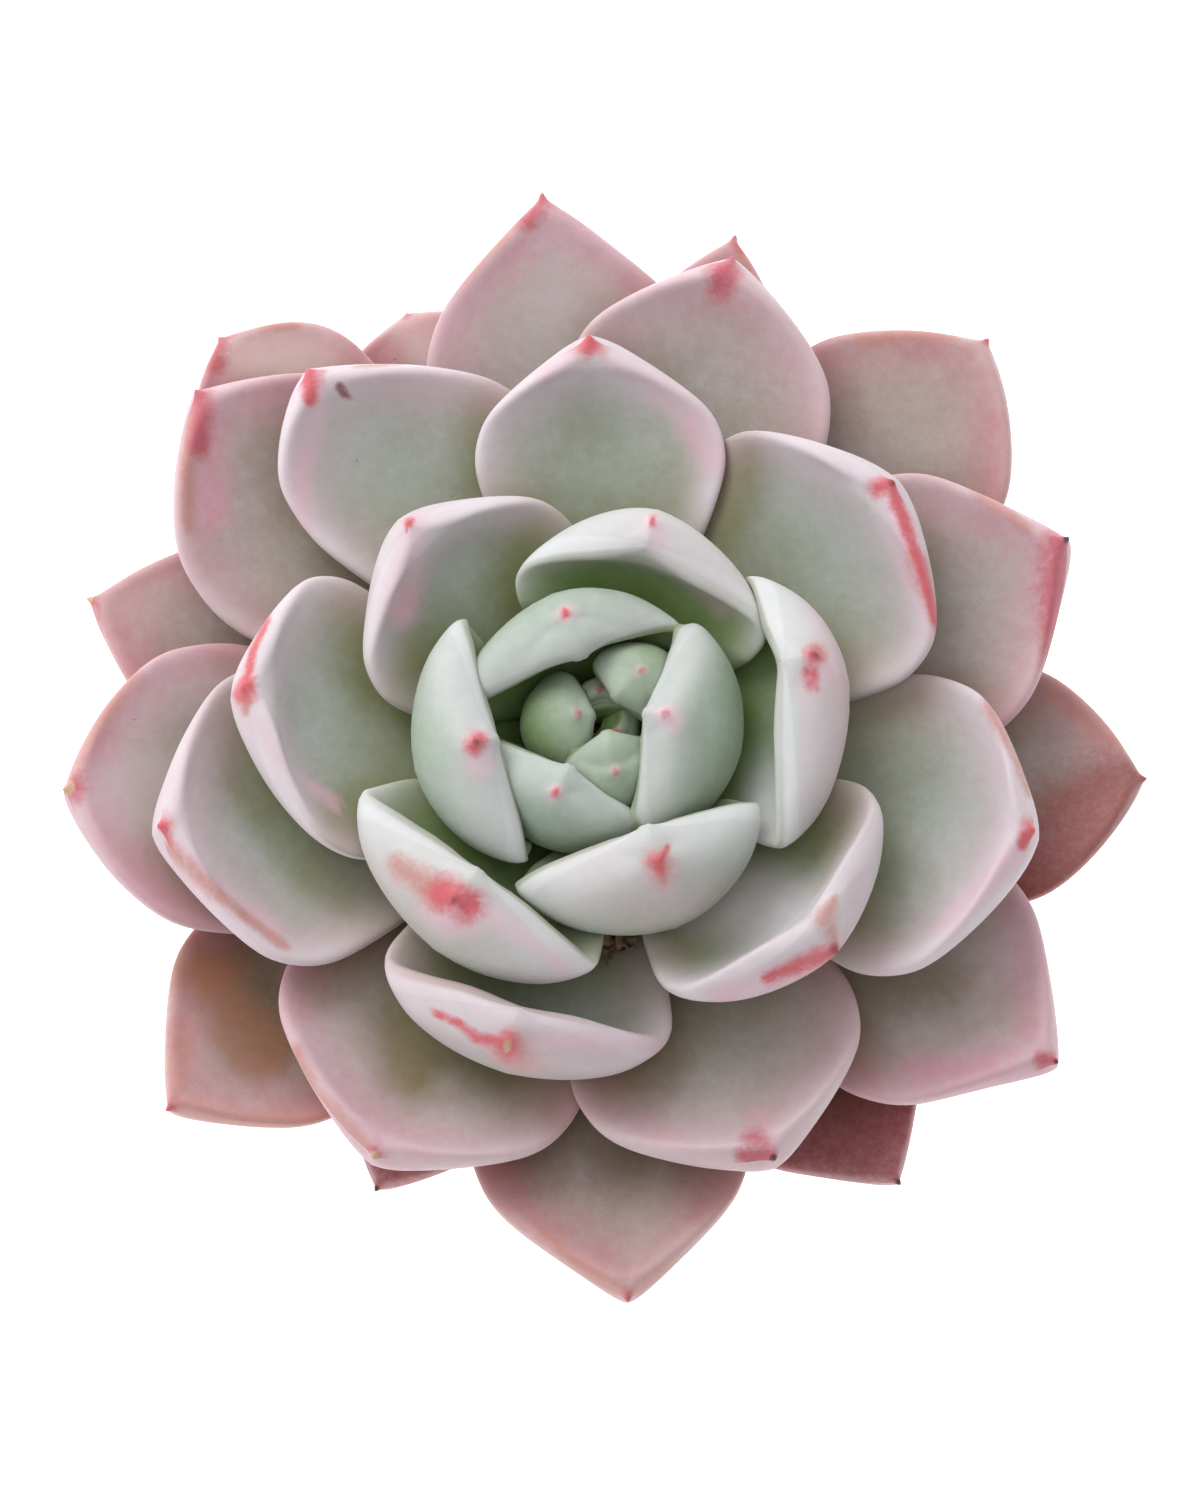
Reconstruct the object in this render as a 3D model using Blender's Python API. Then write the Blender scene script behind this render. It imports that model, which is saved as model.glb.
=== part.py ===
"""Potted succulent: a pale powdery leaf rosette on a short stem, rooted in gritty soil in a clay pot.

Every leaf is its own solid.  The leaves are numbered from the heart outwards, so leaf_01 is the
youngest and leaf_40 the oldest, and each older leaf is pressed hollow where a younger one lies on it.
Metres, +Z up.  The origin is on the ground at the middle of the pot's foot.
"""
import math
from dataclasses import dataclass

import bmesh
import bpy
import numpy as np
from mathutils import Vector, noise
from mathutils.bvhtree import BVHTree

MM = 0.001
CLEARANCE = 0.3 * MM            # gap left between pieces that touch

# ---- pot -------------------------------------------------------------------------------------
POT_HEIGHT = 62.0 * MM
POT_FOOT_RADIUS = 27.5 * MM
POT_SHOULDER_RADIUS = 36.0 * MM     # top of the tapered body, under the collar
POT_RIM_RADIUS = 40.0 * MM
POT_COLLAR_HEIGHT = 18.0 * MM
POT_WALL = 4.0 * MM
POT_FLOOR = 5.0 * MM
POT_HOLE_RADIUS = 6.0 * MM
POT_SEGMENTS = 48
LIP_ROUNDING = 1.0 * MM

# ---- soil ------------------------------------------------------------------------------------
SOIL_BELOW_RIM = 7.0 * MM
SOIL_SEGMENTS = 32
SOIL_UNEVENNESS = 0.7 * MM

# ---- stem and roots --------------------------------------------------------------------------
ROSETTE_AXIS = (-0.5 * MM, -2.7 * MM)
STEM_APEX_Z = 92.4 * MM
STEM_FULL_Z = 84.6 * MM             # where the growing tip has widened to the full stem
STEM_RADIUS = 4.7 * MM
STEM_FOOT_Z = 38.0 * MM
STEM_FOOT_RADIUS = 3.0 * MM
STEM_SEGMENTS = 16
ROOT_COUNT = 4
ROOT_RADIUS = 1.6 * MM
ROOT_END_RADIUS = 0.6 * MM
ROOT_LENGTH = 22.0 * MM
ROOT_SIDES = 6
ROOT_RINGS = 6

# ---- rosette ---------------------------------------------------------------------------------
FIRST_BASE_Z = 93.0 * MM            # height on the stem where leaf_01 is attached
BASE_STEP_Z = 0.68 * MM             # each older leaf is attached this much lower
FIRST_BASE_RADIUS = 0.9 * MM
BASE_STEP_RADIUS = 0.42 * MM
FULL_BASE_RADIUS = 5.6 * MM
YOUNG_THICKNESS = 2.2 * MM
FULL_THICKNESS = 5.6 * MM
OLD_THINNING = 0.02 * MM            # lost per leaf beyond leaf_13
UPPER_SHARE = 0.42                  # share of the thickness above the leaf's middle line
KEEL = 0.25                         # extra thickness along the underside's middle
SECTION_POWER = 2.6                 # 2 is an ellipse, more is a fuller section
TIP_CROWDING = 1.35                 # sections stand closer together towards the tip
TIP_DROP = 0.12                     # the tip sits this share of the thickness under the middle line
CUP_LOCAL = 0.25                    # share of the cupping that follows the leaf's own bend
LEAF_SECTIONS = 9
LEAF_SIDES = 12
HEART_LEAVES = 5
HEART_SECTIONS = 7
HEART_SIDES = 8

# Outline and thickness along a leaf, from its base (0) to its tip (1).
OUTLINE_AT = (0, 0.12, 0.3, 0.5, 0.66, 0.78, 0.88, 0.95, 0.985, 1)
OUTLINE = (0.30, 0.36, 0.60, 0.88, 1.0, 0.91, 0.60, 0.30, 0.12, 0)
BLUNTER = (0, 0, 0, 0, 0, 0.08, 0.22, 0.22, 0.14, 0)
SHARPER = (0, 0, 0, -0.02, 0, 0.05, 0.09, 0.07, 0.04, 0)
OUTLINE_WIDEST = 0.66
THICKNESS_AT = (0, 0.15, 0.4, 0.65, 0.85, 0.95, 1)
THICKNESS = (0.42, 0.5, 0.85, 1.0, 0.92, 0.72, 0.50)


@dataclass(frozen=True)
class Leaf:
    """One leaf: where its tip is (degrees, millimetres) and how the blade bends and widens."""
    turn: float             # direction round the rosette, anticlockwise from +X
    reach: float            # tip's distance from the rosette axis
    tip: float              # tip's height over the ground
    width: float
    rise: float             # slope of the blade where it leaves the stem
    curl: float             # slope at the tip; over 90 the tip bends back over the heart
    low: float = 0.36       # how far the first slope carries, as a share of the chord
    high: float = 0.36      # how far the last slope carries
    cup: float = 0.3        # how far the margins are raised
    left: float = 1.0       # width factor on the anticlockwise side
    right: float = 1.0      # width factor on the clockwise side
    widest: float = 0.66    # where along the blade it is widest
    blunt: float = 0.0      # -1 a drawn-out tip, +1 a broad one
    sweep: float = 0.0      # sideways bend, millimetres at the tip
    thick: float = 0.0      # 0 takes the thickness that goes with the leaf's age


LEAVES = (
    # the heart: buds closed over the growing tip
    Leaf(100, 3.5, 95, 4.5, 80, 95),
    Leaf(-66, 1.7, 94.5, 4, 80, 95),
    Leaf(-174, 2, 97.5, 11, 25, 160, low=1.1, high=1.0, widest=0.55, thick=3.2),
    Leaf(48, 5.5, 98.5, 10, 45, 128, low=0.6, high=0.6, widest=0.6, thick=3.2),
    Leaf(-82, 6, 98.5, 9.5, 45, 130, low=0.6, high=0.6, widest=0.6, thick=3.2),
    # the inner cup: leaves that bend back over the heart
    Leaf(-118, 8.5, 99.5, 21, 30, 140, low=0.68, high=0.78, cup=0.36, left=0.96, widest=0.6),
    Leaf(111, 10, 100.5, 21, 45, 125, low=0.45, high=0.45, cup=0.42, left=1.12, right=0.97, widest=0.55),
    Leaf(-20, 5.5, 101, 21.5, 28, 150, low=0.7, high=0.8, cup=0.45),
    Leaf(-153, 13.5, 101, 25, 28, 135, low=0.55, high=0.75, cup=0.5, left=0.97, right=1.15, sweep=-2),
    Leaf(-69, 16, 100.5, 25.5, 28, 130, low=0.62, high=0.75, cup=0.44, left=0.9, right=1.06),
    Leaf(74.5, 19, 100, 27, 40, 95, cup=0.42, left=0.86, right=0.95, widest=0.55),
    Leaf(5.5, 19.5, 99, 28, 30, 112, low=0.55, high=0.6, cup=0.42, left=0.9, right=1.12, sweep=3),
    Leaf(-127, 24, 97.5, 28.5, 28, 112, low=0.5, high=0.6, right=1.02),
    # the middle ring: leaves that stand up and open
    Leaf(134.5, 27.5, 97, 27, 32, 85, cup=0.28, right=0.92, widest=0.6),
    Leaf(-45.5, 31, 95, 28.5, 32, 78, cup=0.26, blunt=0.3),
    Leaf(182.5, 35, 94, 28, 29, 66, cup=0.25, right=1.05, blunt=0.2, sweep=-5),
    Leaf(92, 39.5, 93.5, 27, 30, 60, cup=0.24, left=0.88),
    Leaf(41, 37.5, 93, 28, 26, 60, cup=0.24, left=1.1, right=1.1, blunt=0.5),
    Leaf(-106, 33, 92, 29.5, 22, 88, low=0.42, high=0.52, cup=0.24, blunt=0.2),
    Leaf(-13, 43, 90, 29, 23, 50, cup=0.23, left=0.97, right=1.2, blunt=0.5),
    Leaf(119.5, 47.5, 89.5, 27, 22, 48, cup=0.22, left=0.88, right=1.08, blunt=0.3, sweep=7),
    Leaf(-168.5, 44.5, 88, 29, 20, 50, cup=0.21, left=1.12, right=1.05, blunt=0.3),
    # the outer ring: leaves that lie back
    Leaf(-68, 44.5, 84, 28, 15, 42, cup=0.21, right=1.12, blunt=0.3),
    Leaf(75.5, 53, 87.5, 28, 18, 42, cup=0.2, blunt=-0.2),
    Leaf(-119, 46.5, 82, 28.5, 11, 38, cup=0.2, left=1.08, right=1.22, blunt=0.3),
    Leaf(24.5, 51, 86.5, 29, 16, 40, cup=0.19, left=1.03, blunt=-0.4),
    Leaf(137.5, 56, 83.5, 28, 12, 38, cup=0.18, left=1.09, blunt=0.2),
    Leaf(-34.5, 54.5, 80, 28, 10, 32, cup=0.18, blunt=-0.6),
    Leaf(96, 60, 81.5, 28, 8, 30, cup=0.17, blunt=-0.6),
    Leaf(-176.5, 54, 81, 29, 8, 32, cup=0.17, left=1.05, right=1.05),
    # the oldest leaves: low, nearly flat, over the rim of the pot
    Leaf(-87.5, 54, 76, 27.5, 4, 25, cup=0.16, left=0.97, right=1.1, blunt=-0.3),
    Leaf(48.5, 59.5, 80, 27, 6, 25, cup=0.15),
    Leaf(-1, 54.5, 76.5, 27, 2, 20, cup=0.15, left=0.92),
    Leaf(-141.5, 55.5, 74.5, 27, 3, 20, cup=0.14, left=0.86, right=1.03),
    Leaf(160, 56, 72.5, 25, -6, 16, cup=0.14, left=0.85),
    Leaf(131.5, 61, 76.5, 25, 1, 18, cup=0.13, left=0.9, right=1.12),
    Leaf(-54.5, 51, 72, 25, -3, 16, cup=0.12, left=0.9, right=0.95, blunt=-0.5),
    Leaf(112, 55, 70, 19, -8, 12, cup=0.12, right=0.95, blunt=0.3),
    Leaf(80.5, 59, 75, 21, -4, 14, cup=0.11, blunt=-0.5, sweep=-4),
    Leaf(-118.5, 47.5, 69.5, 20, -7, 10, cup=0.11, left=0.9),
)


# ---- curves ----------------------------------------------------------------------------------
def eased(at, positions, values):
    """Read a smooth curve through (positions, values) that never overshoots them."""
    xs, ys = np.asarray(positions, float), np.asarray(values, float)
    step = np.diff(xs)
    slope = np.diff(ys) / step
    tangent = np.empty_like(ys)
    tangent[0], tangent[-1] = slope[0], slope[-1]
    both = slope[:-1] * slope[1:]
    tangent[1:-1] = np.where(both > 0, 2 * both / (slope[:-1] + slope[1:] + 1e-12), 0)
    i = np.clip(np.searchsorted(xs, at, side="right") - 1, 0, len(xs) - 2)
    t = (at - xs[i]) / step[i]
    return ((2 * t**3 - 3 * t**2 + 1) * ys[i] + (t**3 - 2 * t**2 + t) * step[i] * tangent[i]
            + (3 * t**2 - 2 * t**3) * ys[i + 1] + (t**3 - t**2) * step[i] * tangent[i + 1])


def bezier(points, t):
    """Return positions and unit directions of a cubic curve at the parameters t."""
    t = np.asarray(t, float)[:, None]
    weights = ((1 - t)**3, 3 * t * (1 - t)**2, 3 * t**2 * (1 - t), t**3)
    position = sum(w * p for w, p in zip(weights, points))
    rates = (3 * (1 - t)**2, 6 * t * (1 - t), 3 * t**2)
    direction = sum(w * (q - p) for w, p, q in zip(rates, points[:-1], points[1:]))
    return position, direction / np.linalg.norm(direction, axis=1, keepdims=True)


# ---- meshes ----------------------------------------------------------------------------------
def skin(rings, first_cap, last_cap):
    """Join closed rings of points into one closed surface, with a cap point at either end."""
    sides = len(rings[0])
    verts = [p for ring in rings for p in ring] + [last_cap, first_cap]
    tip, base = len(verts) - 2, len(verts) - 1
    faces = []
    for k in range(len(rings) - 1):
        for j in range(sides):
            a, b = k * sides + j, k * sides + (j + 1) % sides
            faces.append((a, b, b + sides, a + sides))
    last = (len(rings) - 1) * sides
    for j in range(sides):
        faces.append((last + j, last + (j + 1) % sides, tip))
        faces.append((base, (j + 1) % sides, j))
    return verts, faces


def turned(profile, segments, centre=(0.0, 0.0)):
    """Turn a profile of (radius, height) points, from the bottom middle to the top middle."""
    rings = []
    for radius, height in profile[1:-1]:
        rings.append([(centre[0] + radius * math.cos(2 * math.pi * j / segments),
                       centre[1] + radius * math.sin(2 * math.pi * j / segments), height)
                      for j in range(segments)])
    return skin(rings, (*centre, profile[0][1]), (*centre, profile[-1][1]))


def add_object(name, verts, faces, material, smooth_angle=50.0):
    """Make a named mesh object with its faces pointing out."""
    mesh = bpy.data.meshes.new(name)
    mesh.from_pydata([tuple(map(float, v)) for v in verts], [], faces)
    shape = bmesh.new()
    shape.from_mesh(mesh)
    bmesh.ops.recalc_face_normals(shape, faces=shape.faces)
    shape.to_mesh(mesh)
    shape.free()
    mesh.shade_smooth()
    mesh.set_sharp_from_angle(angle=math.radians(smooth_angle))
    mesh.materials.append(material)
    item = bpy.data.objects.new(name, mesh)
    bpy.context.scene.collection.objects.link(item)
    return item


def swollen(item, by):
    """Make a cutter: a copy of an object with every side moved out by a clearance."""
    mesh = item.data.copy()
    mesh.name = item.name + "_room"
    for vertex, normal in zip(mesh.vertices, [Vector(n.vector) for n in item.data.vertex_normals]):
        vertex.co = vertex.co + normal * by
    cutter = bpy.data.objects.new(mesh.name, mesh)
    cutter.hide_render = True
    cutter.display_type = "WIRE"
    bpy.context.scene.collection.objects.link(cutter)
    return cutter


def touching(one, other):
    """Tell whether the surfaces of two objects cross."""
    trees = [BVHTree.FromPolygons([v.co for v in o.data.vertices],
                                  [tuple(p.vertices) for p in o.data.polygons]) for o in (one, other)]
    return bool(trees[0].overlap(trees[1]))


def press(item, cutter):
    """Take a cutter's room out of an object."""
    cut = item.modifiers.new("room_for_" + cutter.name.replace("_room", ""), "BOOLEAN")
    cut.operation = "DIFFERENCE"
    cut.solver = "EXACT"
    cut.object = cutter


def finish(name, colour, roughness):
    """Make a plain material."""
    material = bpy.data.materials.new(name)
    material.use_nodes = True
    shader = material.node_tree.nodes["Principled BSDF"]
    shader.inputs["Base Color"].default_value = (*colour, 1.0)
    shader.inputs["Roughness"].default_value = roughness
    shader.inputs["Metallic"].default_value = 0.0
    return material


# ---- pieces ----------------------------------------------------------------------------------
def leaf_points(leaf, rank, sections, sides):
    """Lay out one leaf's cross-sections from its base on the stem to its tip."""
    base = np.array([min(FULL_BASE_RADIUS, FIRST_BASE_RADIUS + BASE_STEP_RADIUS * rank),
                     FIRST_BASE_Z - BASE_STEP_Z * rank])
    tip = np.array([math.sqrt(leaf.reach**2 - leaf.sweep**2), leaf.tip]) * MM
    chord = np.linalg.norm(tip - base)
    rise, curl = math.radians(leaf.rise), math.radians(leaf.curl)
    curve = (base, base + leaf.low * chord * np.array([math.cos(rise), math.sin(rise)]),
             tip - leaf.high * chord * np.array([math.cos(curl), math.sin(curl)]), tip)
    fine = np.linspace(0, 1, 200)
    line, slope = bezier(curve, fine)
    along = np.concatenate([[0], np.cumsum(np.linalg.norm(np.diff(line, axis=0), axis=1))])
    length = along[-1]
    stations = (1 - (1 - np.linspace(0, 1, sections + 1))**TIP_CROWDING)[:-1]
    line, slope = bezier(curve, np.interp(stations, along / length, fine))
    _, tip_slope = bezier(curve, [1.0])

    turn = math.radians(leaf.turn)
    outward = np.array([math.cos(turn), math.sin(turn), 0])
    across = np.array([-math.sin(turn), math.cos(turn), 0])
    up = np.array([0, 0, 1.0])
    axis = np.array([*ROSETTE_AXIS, 0])
    mean = slope.mean(axis=0) / np.linalg.norm(slope.mean(axis=0))
    face_mean = -mean[1] * outward + mean[0] * up

    shape = np.array(OUTLINE)
    shape = shape + leaf.blunt * np.array(BLUNTER if leaf.blunt > 0 else SHARPER)
    shift = math.log(OUTLINE_WIDEST) / math.log(leaf.widest)
    half = np.minimum(eased(stations**shift, OUTLINE_AT, shape), 1) * leaf.width / 2 * MM
    full = (leaf.thick * MM if leaf.thick else
            YOUNG_THICKNESS + (FULL_THICKNESS - YOUNG_THICKNESS) * min(1, rank / 10)
            - OLD_THINNING * max(0, rank - 12))
    depth = full * eased(stations, THICKNESS_AT, THICKNESS)

    angle = np.arange(sides) / sides * 2 * np.pi
    power = 2 / SECTION_POWER
    flat = np.sign(np.cos(angle)) * np.abs(np.cos(angle))**power
    rise_fall = np.sign(np.sin(angle)) * np.abs(np.sin(angle))**power
    rings = []
    for k, u in enumerate(stations):
        before, after = max(k - 1, 0), min(k + 1, sections - 1)
        bend = math.atan2(slope[before, 0] * slope[after, 1] - slope[before, 1] * slope[after, 0],
                          float(slope[before] @ slope[after]))
        bend /= max((stations[after] - stations[before]) * length, 1e-9)
        upper = min(depth[k] * UPPER_SHARE, 0.7 / max(bend, 1e-6))
        lower = depth[k] * (1 - UPPER_SHARE)
        middle = line[k, 0] * outward + line[k, 1] * up + across * leaf.sweep * MM * u * u
        face = -slope[k, 1] * outward + slope[k, 0] * up
        wide = flat * half[k] * np.where(flat > 0, leaf.left, leaf.right)
        high = np.where(rise_fall > 0, rise_fall * upper,
                        rise_fall * lower * (1 + KEEL * (1 - np.abs(flat))))
        cup = leaf.cup * half[k] * flat**2 * min(u * 2.2, 1)
        rings.append(axis + middle + np.outer(wide, across) + np.outer(high, face)
                     + np.outer(cup, CUP_LOCAL * face + (1 - CUP_LOCAL) * face_mean))
    tip_face = -tip_slope[0, 1] * outward + tip_slope[0, 0] * up
    point = (axis + tip[0] * outward + tip[1] * up + across * leaf.sweep * MM
             - tip_face * full * TIP_DROP)
    return skin(rings, rings[0].mean(axis=0), point)


def build_leaves(green, flushed):
    """Build the rosette and press each leaf hollow under the younger ones that lie on it."""
    leaves, rooms = [], []
    for rank, leaf in enumerate(LEAVES):
        heart = rank < HEART_LEAVES
        verts, faces = leaf_points(leaf, rank, HEART_SECTIONS if heart else LEAF_SECTIONS,
                                   HEART_SIDES if heart else LEAF_SIDES)
        item = add_object(f"leaf_{rank + 1:02d}", verts, faces, green if rank < 20 else flushed)
        for room in rooms:
            if touching(item, room):
                press(item, room)
        rooms.append(swollen(item, CLEARANCE))
        leaves.append(item)
    return leaves


def build_pot(clay):
    """Turn the pot: tapered body, plain collar, rounded lip, drain hole through the floor."""
    collar_z = POT_HEIGHT - POT_COLLAR_HEIGHT
    inner_top = POT_RIM_RADIUS - POT_WALL
    r = LIP_ROUNDING
    profile = [
        (POT_HOLE_RADIUS, 0), (POT_FOOT_RADIUS - r, 0), (POT_FOOT_RADIUS, r),
        (POT_SHOULDER_RADIUS, collar_z - 2 * r), (POT_RIM_RADIUS - r, collar_z - r),
        (POT_RIM_RADIUS - 0.3 * r, collar_z), (POT_RIM_RADIUS, collar_z + r),
        (POT_RIM_RADIUS, POT_HEIGHT - r), (POT_RIM_RADIUS - 0.3 * r, POT_HEIGHT - 0.3 * r),
        (POT_RIM_RADIUS - r, POT_HEIGHT), (inner_top + r, POT_HEIGHT),
        (inner_top + 0.3 * r, POT_HEIGHT - 0.3 * r), (inner_top, POT_HEIGHT - r),
        (soil_radius(POT_FLOOR) + CLEARANCE, POT_FLOOR), (POT_HOLE_RADIUS, POT_FLOOR),
    ]
    verts, faces, count = [], [], len(profile)
    for j in range(POT_SEGMENTS):
        a = 2 * math.pi * j / POT_SEGMENTS
        verts += [(radius * math.cos(a), radius * math.sin(a), z) for radius, z in profile]
    for j in range(POT_SEGMENTS):
        one, two = j * count, (j + 1) % POT_SEGMENTS * count
        for k in range(count):
            n = (k + 1) % count
            faces.append((one + k, two + k, two + n, one + n))
    return add_object("pot", verts, faces, clay, smooth_angle=35.0)


def soil_radius(height):
    """Radius of the soil at a height: the pot's tapered inside less the clearance."""
    top, bottom = POT_RIM_RADIUS - POT_WALL, POT_FOOT_RADIUS - POT_WALL
    share = (height - POT_FLOOR) / (POT_HEIGHT - LIP_ROUNDING - POT_FLOOR)
    return bottom + (top - bottom) * share - CLEARANCE


def build_soil(earth):
    """Fill the pot with soil up to a little under its rim, with an uneven top."""
    low, high = POT_FLOOR + CLEARANCE, POT_HEIGHT - SOIL_BELOW_RIM
    edge = soil_radius(high - 1.2 * MM)
    profile = [(0, low), (soil_radius(low), low), (edge, high - 1.2 * MM), (edge - 1.5 * MM, high)]
    profile += [(edge * share, high) for share in (0.78, 0.58, 0.38, 0.2)] + [(0, high)]
    verts, faces = turned(profile, SOIL_SEGMENTS)
    uneven = []
    for x, y, z in verts:
        if z > high - 1e-6:
            z += SOIL_UNEVENNESS * noise.noise(Vector((x, y, 0.0)) / (9 * MM))
        uneven.append((x, y, z))
    return add_object("soil", uneven, faces, earth, smooth_angle=30.0)


def build_stem(bark):
    """Turn the stem: a growing tip inside the rosette, a neck, and a foot in the soil."""
    profile = [
        (0, STEM_FOOT_Z - 2 * MM), (STEM_FOOT_RADIUS * 0.7, STEM_FOOT_Z - MM),
        (STEM_FOOT_RADIUS, STEM_FOOT_Z), (STEM_RADIUS, POT_HEIGHT - SOIL_BELOW_RIM - 6 * MM),
        (STEM_RADIUS, POT_HEIGHT), (STEM_RADIUS, STEM_FULL_Z),
        (STEM_RADIUS * 0.62, STEM_FULL_Z + 3.2 * MM), (STEM_RADIUS * 0.3, STEM_FULL_Z + 5.8 * MM),
        (STEM_RADIUS * 0.08, STEM_APEX_Z - 0.3 * MM), (0, STEM_APEX_Z),
    ]
    verts, faces = turned(profile, STEM_SEGMENTS, ROSETTE_AXIS)
    return add_object("stem", verts, faces, bark)


def build_roots(pale):
    """Spread tapered roots out and down from the stem's foot."""
    roots = []
    for n in range(ROOT_COUNT):
        turn = math.radians(40 + 360 * n / ROOT_COUNT)
        outward = np.array([math.cos(turn), math.sin(turn), 0])
        across = np.array([-math.sin(turn), math.cos(turn), 0])
        start = np.array([*ROSETTE_AXIS, STEM_FOOT_Z + 1.5 * MM]) + outward * (
            STEM_FOOT_RADIUS + 1.6 * CLEARANCE)
        rings = []
        for k in range(ROOT_RINGS):
            s = k / (ROOT_RINGS - 1)
            dip = math.radians(10 + 45 * s)
            along = math.cos(dip) * outward - math.sin(dip) * np.array([0, 0, 1.0])
            side = np.cross(along, across)
            middle = start + ROOT_LENGTH * s * (outward * (1 - 0.28 * s)
                                                - np.array([0, 0, 1.0]) * (0.15 + 0.5 * s))
            middle = middle + across * 2.0 * MM * math.sin(3.1 * s + n)
            radius = ROOT_RADIUS + (ROOT_END_RADIUS - ROOT_RADIUS) * s
            rings.append([middle + radius * (math.cos(a) * across + math.sin(a) * side)
                          for a in np.arange(ROOT_SIDES) / ROOT_SIDES * 2 * np.pi])
        verts, faces = skin(rings, np.mean(rings[0], axis=0), np.mean(rings[-1], axis=0))
        roots.append(add_object(f"root_{n + 1}", verts, faces, pale))
    return roots


def main():
    """Clear the scene and build the plant and its pot."""
    for item in list(bpy.data.objects):
        bpy.data.objects.remove(item, do_unlink=True)
    green = finish("young_leaf", (0.44, 0.52, 0.44), 0.6)
    flushed = finish("old_leaf", (0.50, 0.44, 0.42), 0.6)
    clay = finish("clay", (0.55, 0.24, 0.13), 0.85)
    earth = finish("earth", (0.09, 0.06, 0.045), 0.95)
    bark = finish("bark", (0.30, 0.24, 0.15), 0.8)
    pale = finish("root_skin", (0.55, 0.45, 0.33), 0.8)
    build_leaves(green, flushed)
    build_pot(clay)
    stem = build_stem(bark)
    roots = build_roots(pale)
    soil = build_soil(earth)
    for buried in [stem, *roots]:
        press(soil, swollen(buried, CLEARANCE))


main()
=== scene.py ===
"""Looks of the potted succulent: powdery leaves, clay pot, gritty soil, corky stem, pale roots.

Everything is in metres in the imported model's own frame, +Z up.  Leaves are numbered from the heart
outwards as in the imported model, so leaf_01 is the youngest and leaf_40 the oldest.
"""

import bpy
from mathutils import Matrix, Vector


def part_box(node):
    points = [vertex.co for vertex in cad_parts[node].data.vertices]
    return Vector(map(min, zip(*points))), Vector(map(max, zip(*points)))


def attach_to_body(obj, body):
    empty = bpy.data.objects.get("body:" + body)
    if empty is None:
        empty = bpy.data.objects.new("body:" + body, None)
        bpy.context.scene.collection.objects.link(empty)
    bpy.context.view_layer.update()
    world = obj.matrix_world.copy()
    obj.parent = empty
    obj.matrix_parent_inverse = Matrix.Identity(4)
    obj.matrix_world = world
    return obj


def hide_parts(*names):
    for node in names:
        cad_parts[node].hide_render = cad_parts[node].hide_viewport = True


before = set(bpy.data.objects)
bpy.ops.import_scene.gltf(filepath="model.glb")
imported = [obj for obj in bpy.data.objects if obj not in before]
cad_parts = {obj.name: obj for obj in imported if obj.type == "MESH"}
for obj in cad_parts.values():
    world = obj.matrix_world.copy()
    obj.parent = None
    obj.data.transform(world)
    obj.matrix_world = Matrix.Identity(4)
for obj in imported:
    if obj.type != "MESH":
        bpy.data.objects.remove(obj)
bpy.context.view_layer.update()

import logging
import math
from dataclasses import dataclass
from enum import Enum

import bmesh
import bpy
import numpy as np
from mathutils import Matrix, Vector, noise
from mathutils.bvhtree import BVHTree

LOG = logging.getLogger("succulent")
MM = 0.001
NOISE_SEED = 7          # not 0, which would take the clock
Colour = tuple[float, float, float]
Path = tuple[tuple[float, float], ...]
Socket = bpy.types.NodeSocket
Fed = Socket | float | tuple        # what a node's input can be given
STEM_AXIS = (-0.5 * MM, -2.7 * MM)  # the stem stands a little off the pot's own axis


# ---- named options ---------------------------------------------------------------------------
class Age(Enum):
    """Growth stage of a leaf, which decides its colours."""
    HEART = 0
    INNER = 1
    MIDDLE = 2
    OUTER = 3
    OLDEST = 4


class Tint(Enum):
    """What a mark adds to a leaf; the value is the name of the mesh attribute that carries it."""
    PINK = "pink"
    # PALE marks paint light, in the colour of the pale margin
    PALE = "rim"
    # DEEP marks paint shade, in the green of the leaf base
    DEEP = "deep"
    WARM = "warm"
    RED = "red"
    BLOOD = "blood"
    DARK = "dark"
    CORK = "cork"
    TAN = "tan"


class Face(Enum):
    """The face of a leaf that a mark lies on."""
    POINT = "the face that shows the hard point"
    BOTH = "both faces"


# ---- leaf data -------------------------------------------------------------------------------
@dataclass(frozen=True)
class Leaf:
    """One leaf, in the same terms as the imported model: degrees and millimetres."""
    turn: float                 # the way it grows, round the stem
    reach: float                # from the stem's axis to its hard point
    tip: float                  # height of the hard point
    width: float
    rise: float                 # slope where it leaves the stem
    curl: float                 # slope at the tip; over 90 it bends back over the heart
    low: float = 0.36           # how far the first slope carries, over the leaf's length
    high: float = 0.36          # and how far the last one does
    cup: float = 0.3            # how far the margins stand up, over half the width
    left: float = 1.0           # share of half the width on its left
    right: float = 1.0
    widest: float = 0.66        # share of the blade where it is widest
    blunt: float = 0.0          # over 0 a blunter end, under 0 a sharper one
    sweep: float = 0.0          # how far the tip lies to the left
    thick: float = 0.0          # 0 takes the thickness usual at its rank
    hood: float = 1.0           # share of the hood usual at its rank


@dataclass(frozen=True)
class Mark:
    """A coloured mark on a leaf, along a path seen from above.

    The path's corners are millimetres (to the right, to the back) of the leaf's own hard point.
    """
    tint: Tint
    path: Path
    start: float                # radius at the path's start, millimetres
    end: float = 0.0            # radius at its end; 0 keeps the first
    strength: float = 1.0
    face: Face = Face.POINT


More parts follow.
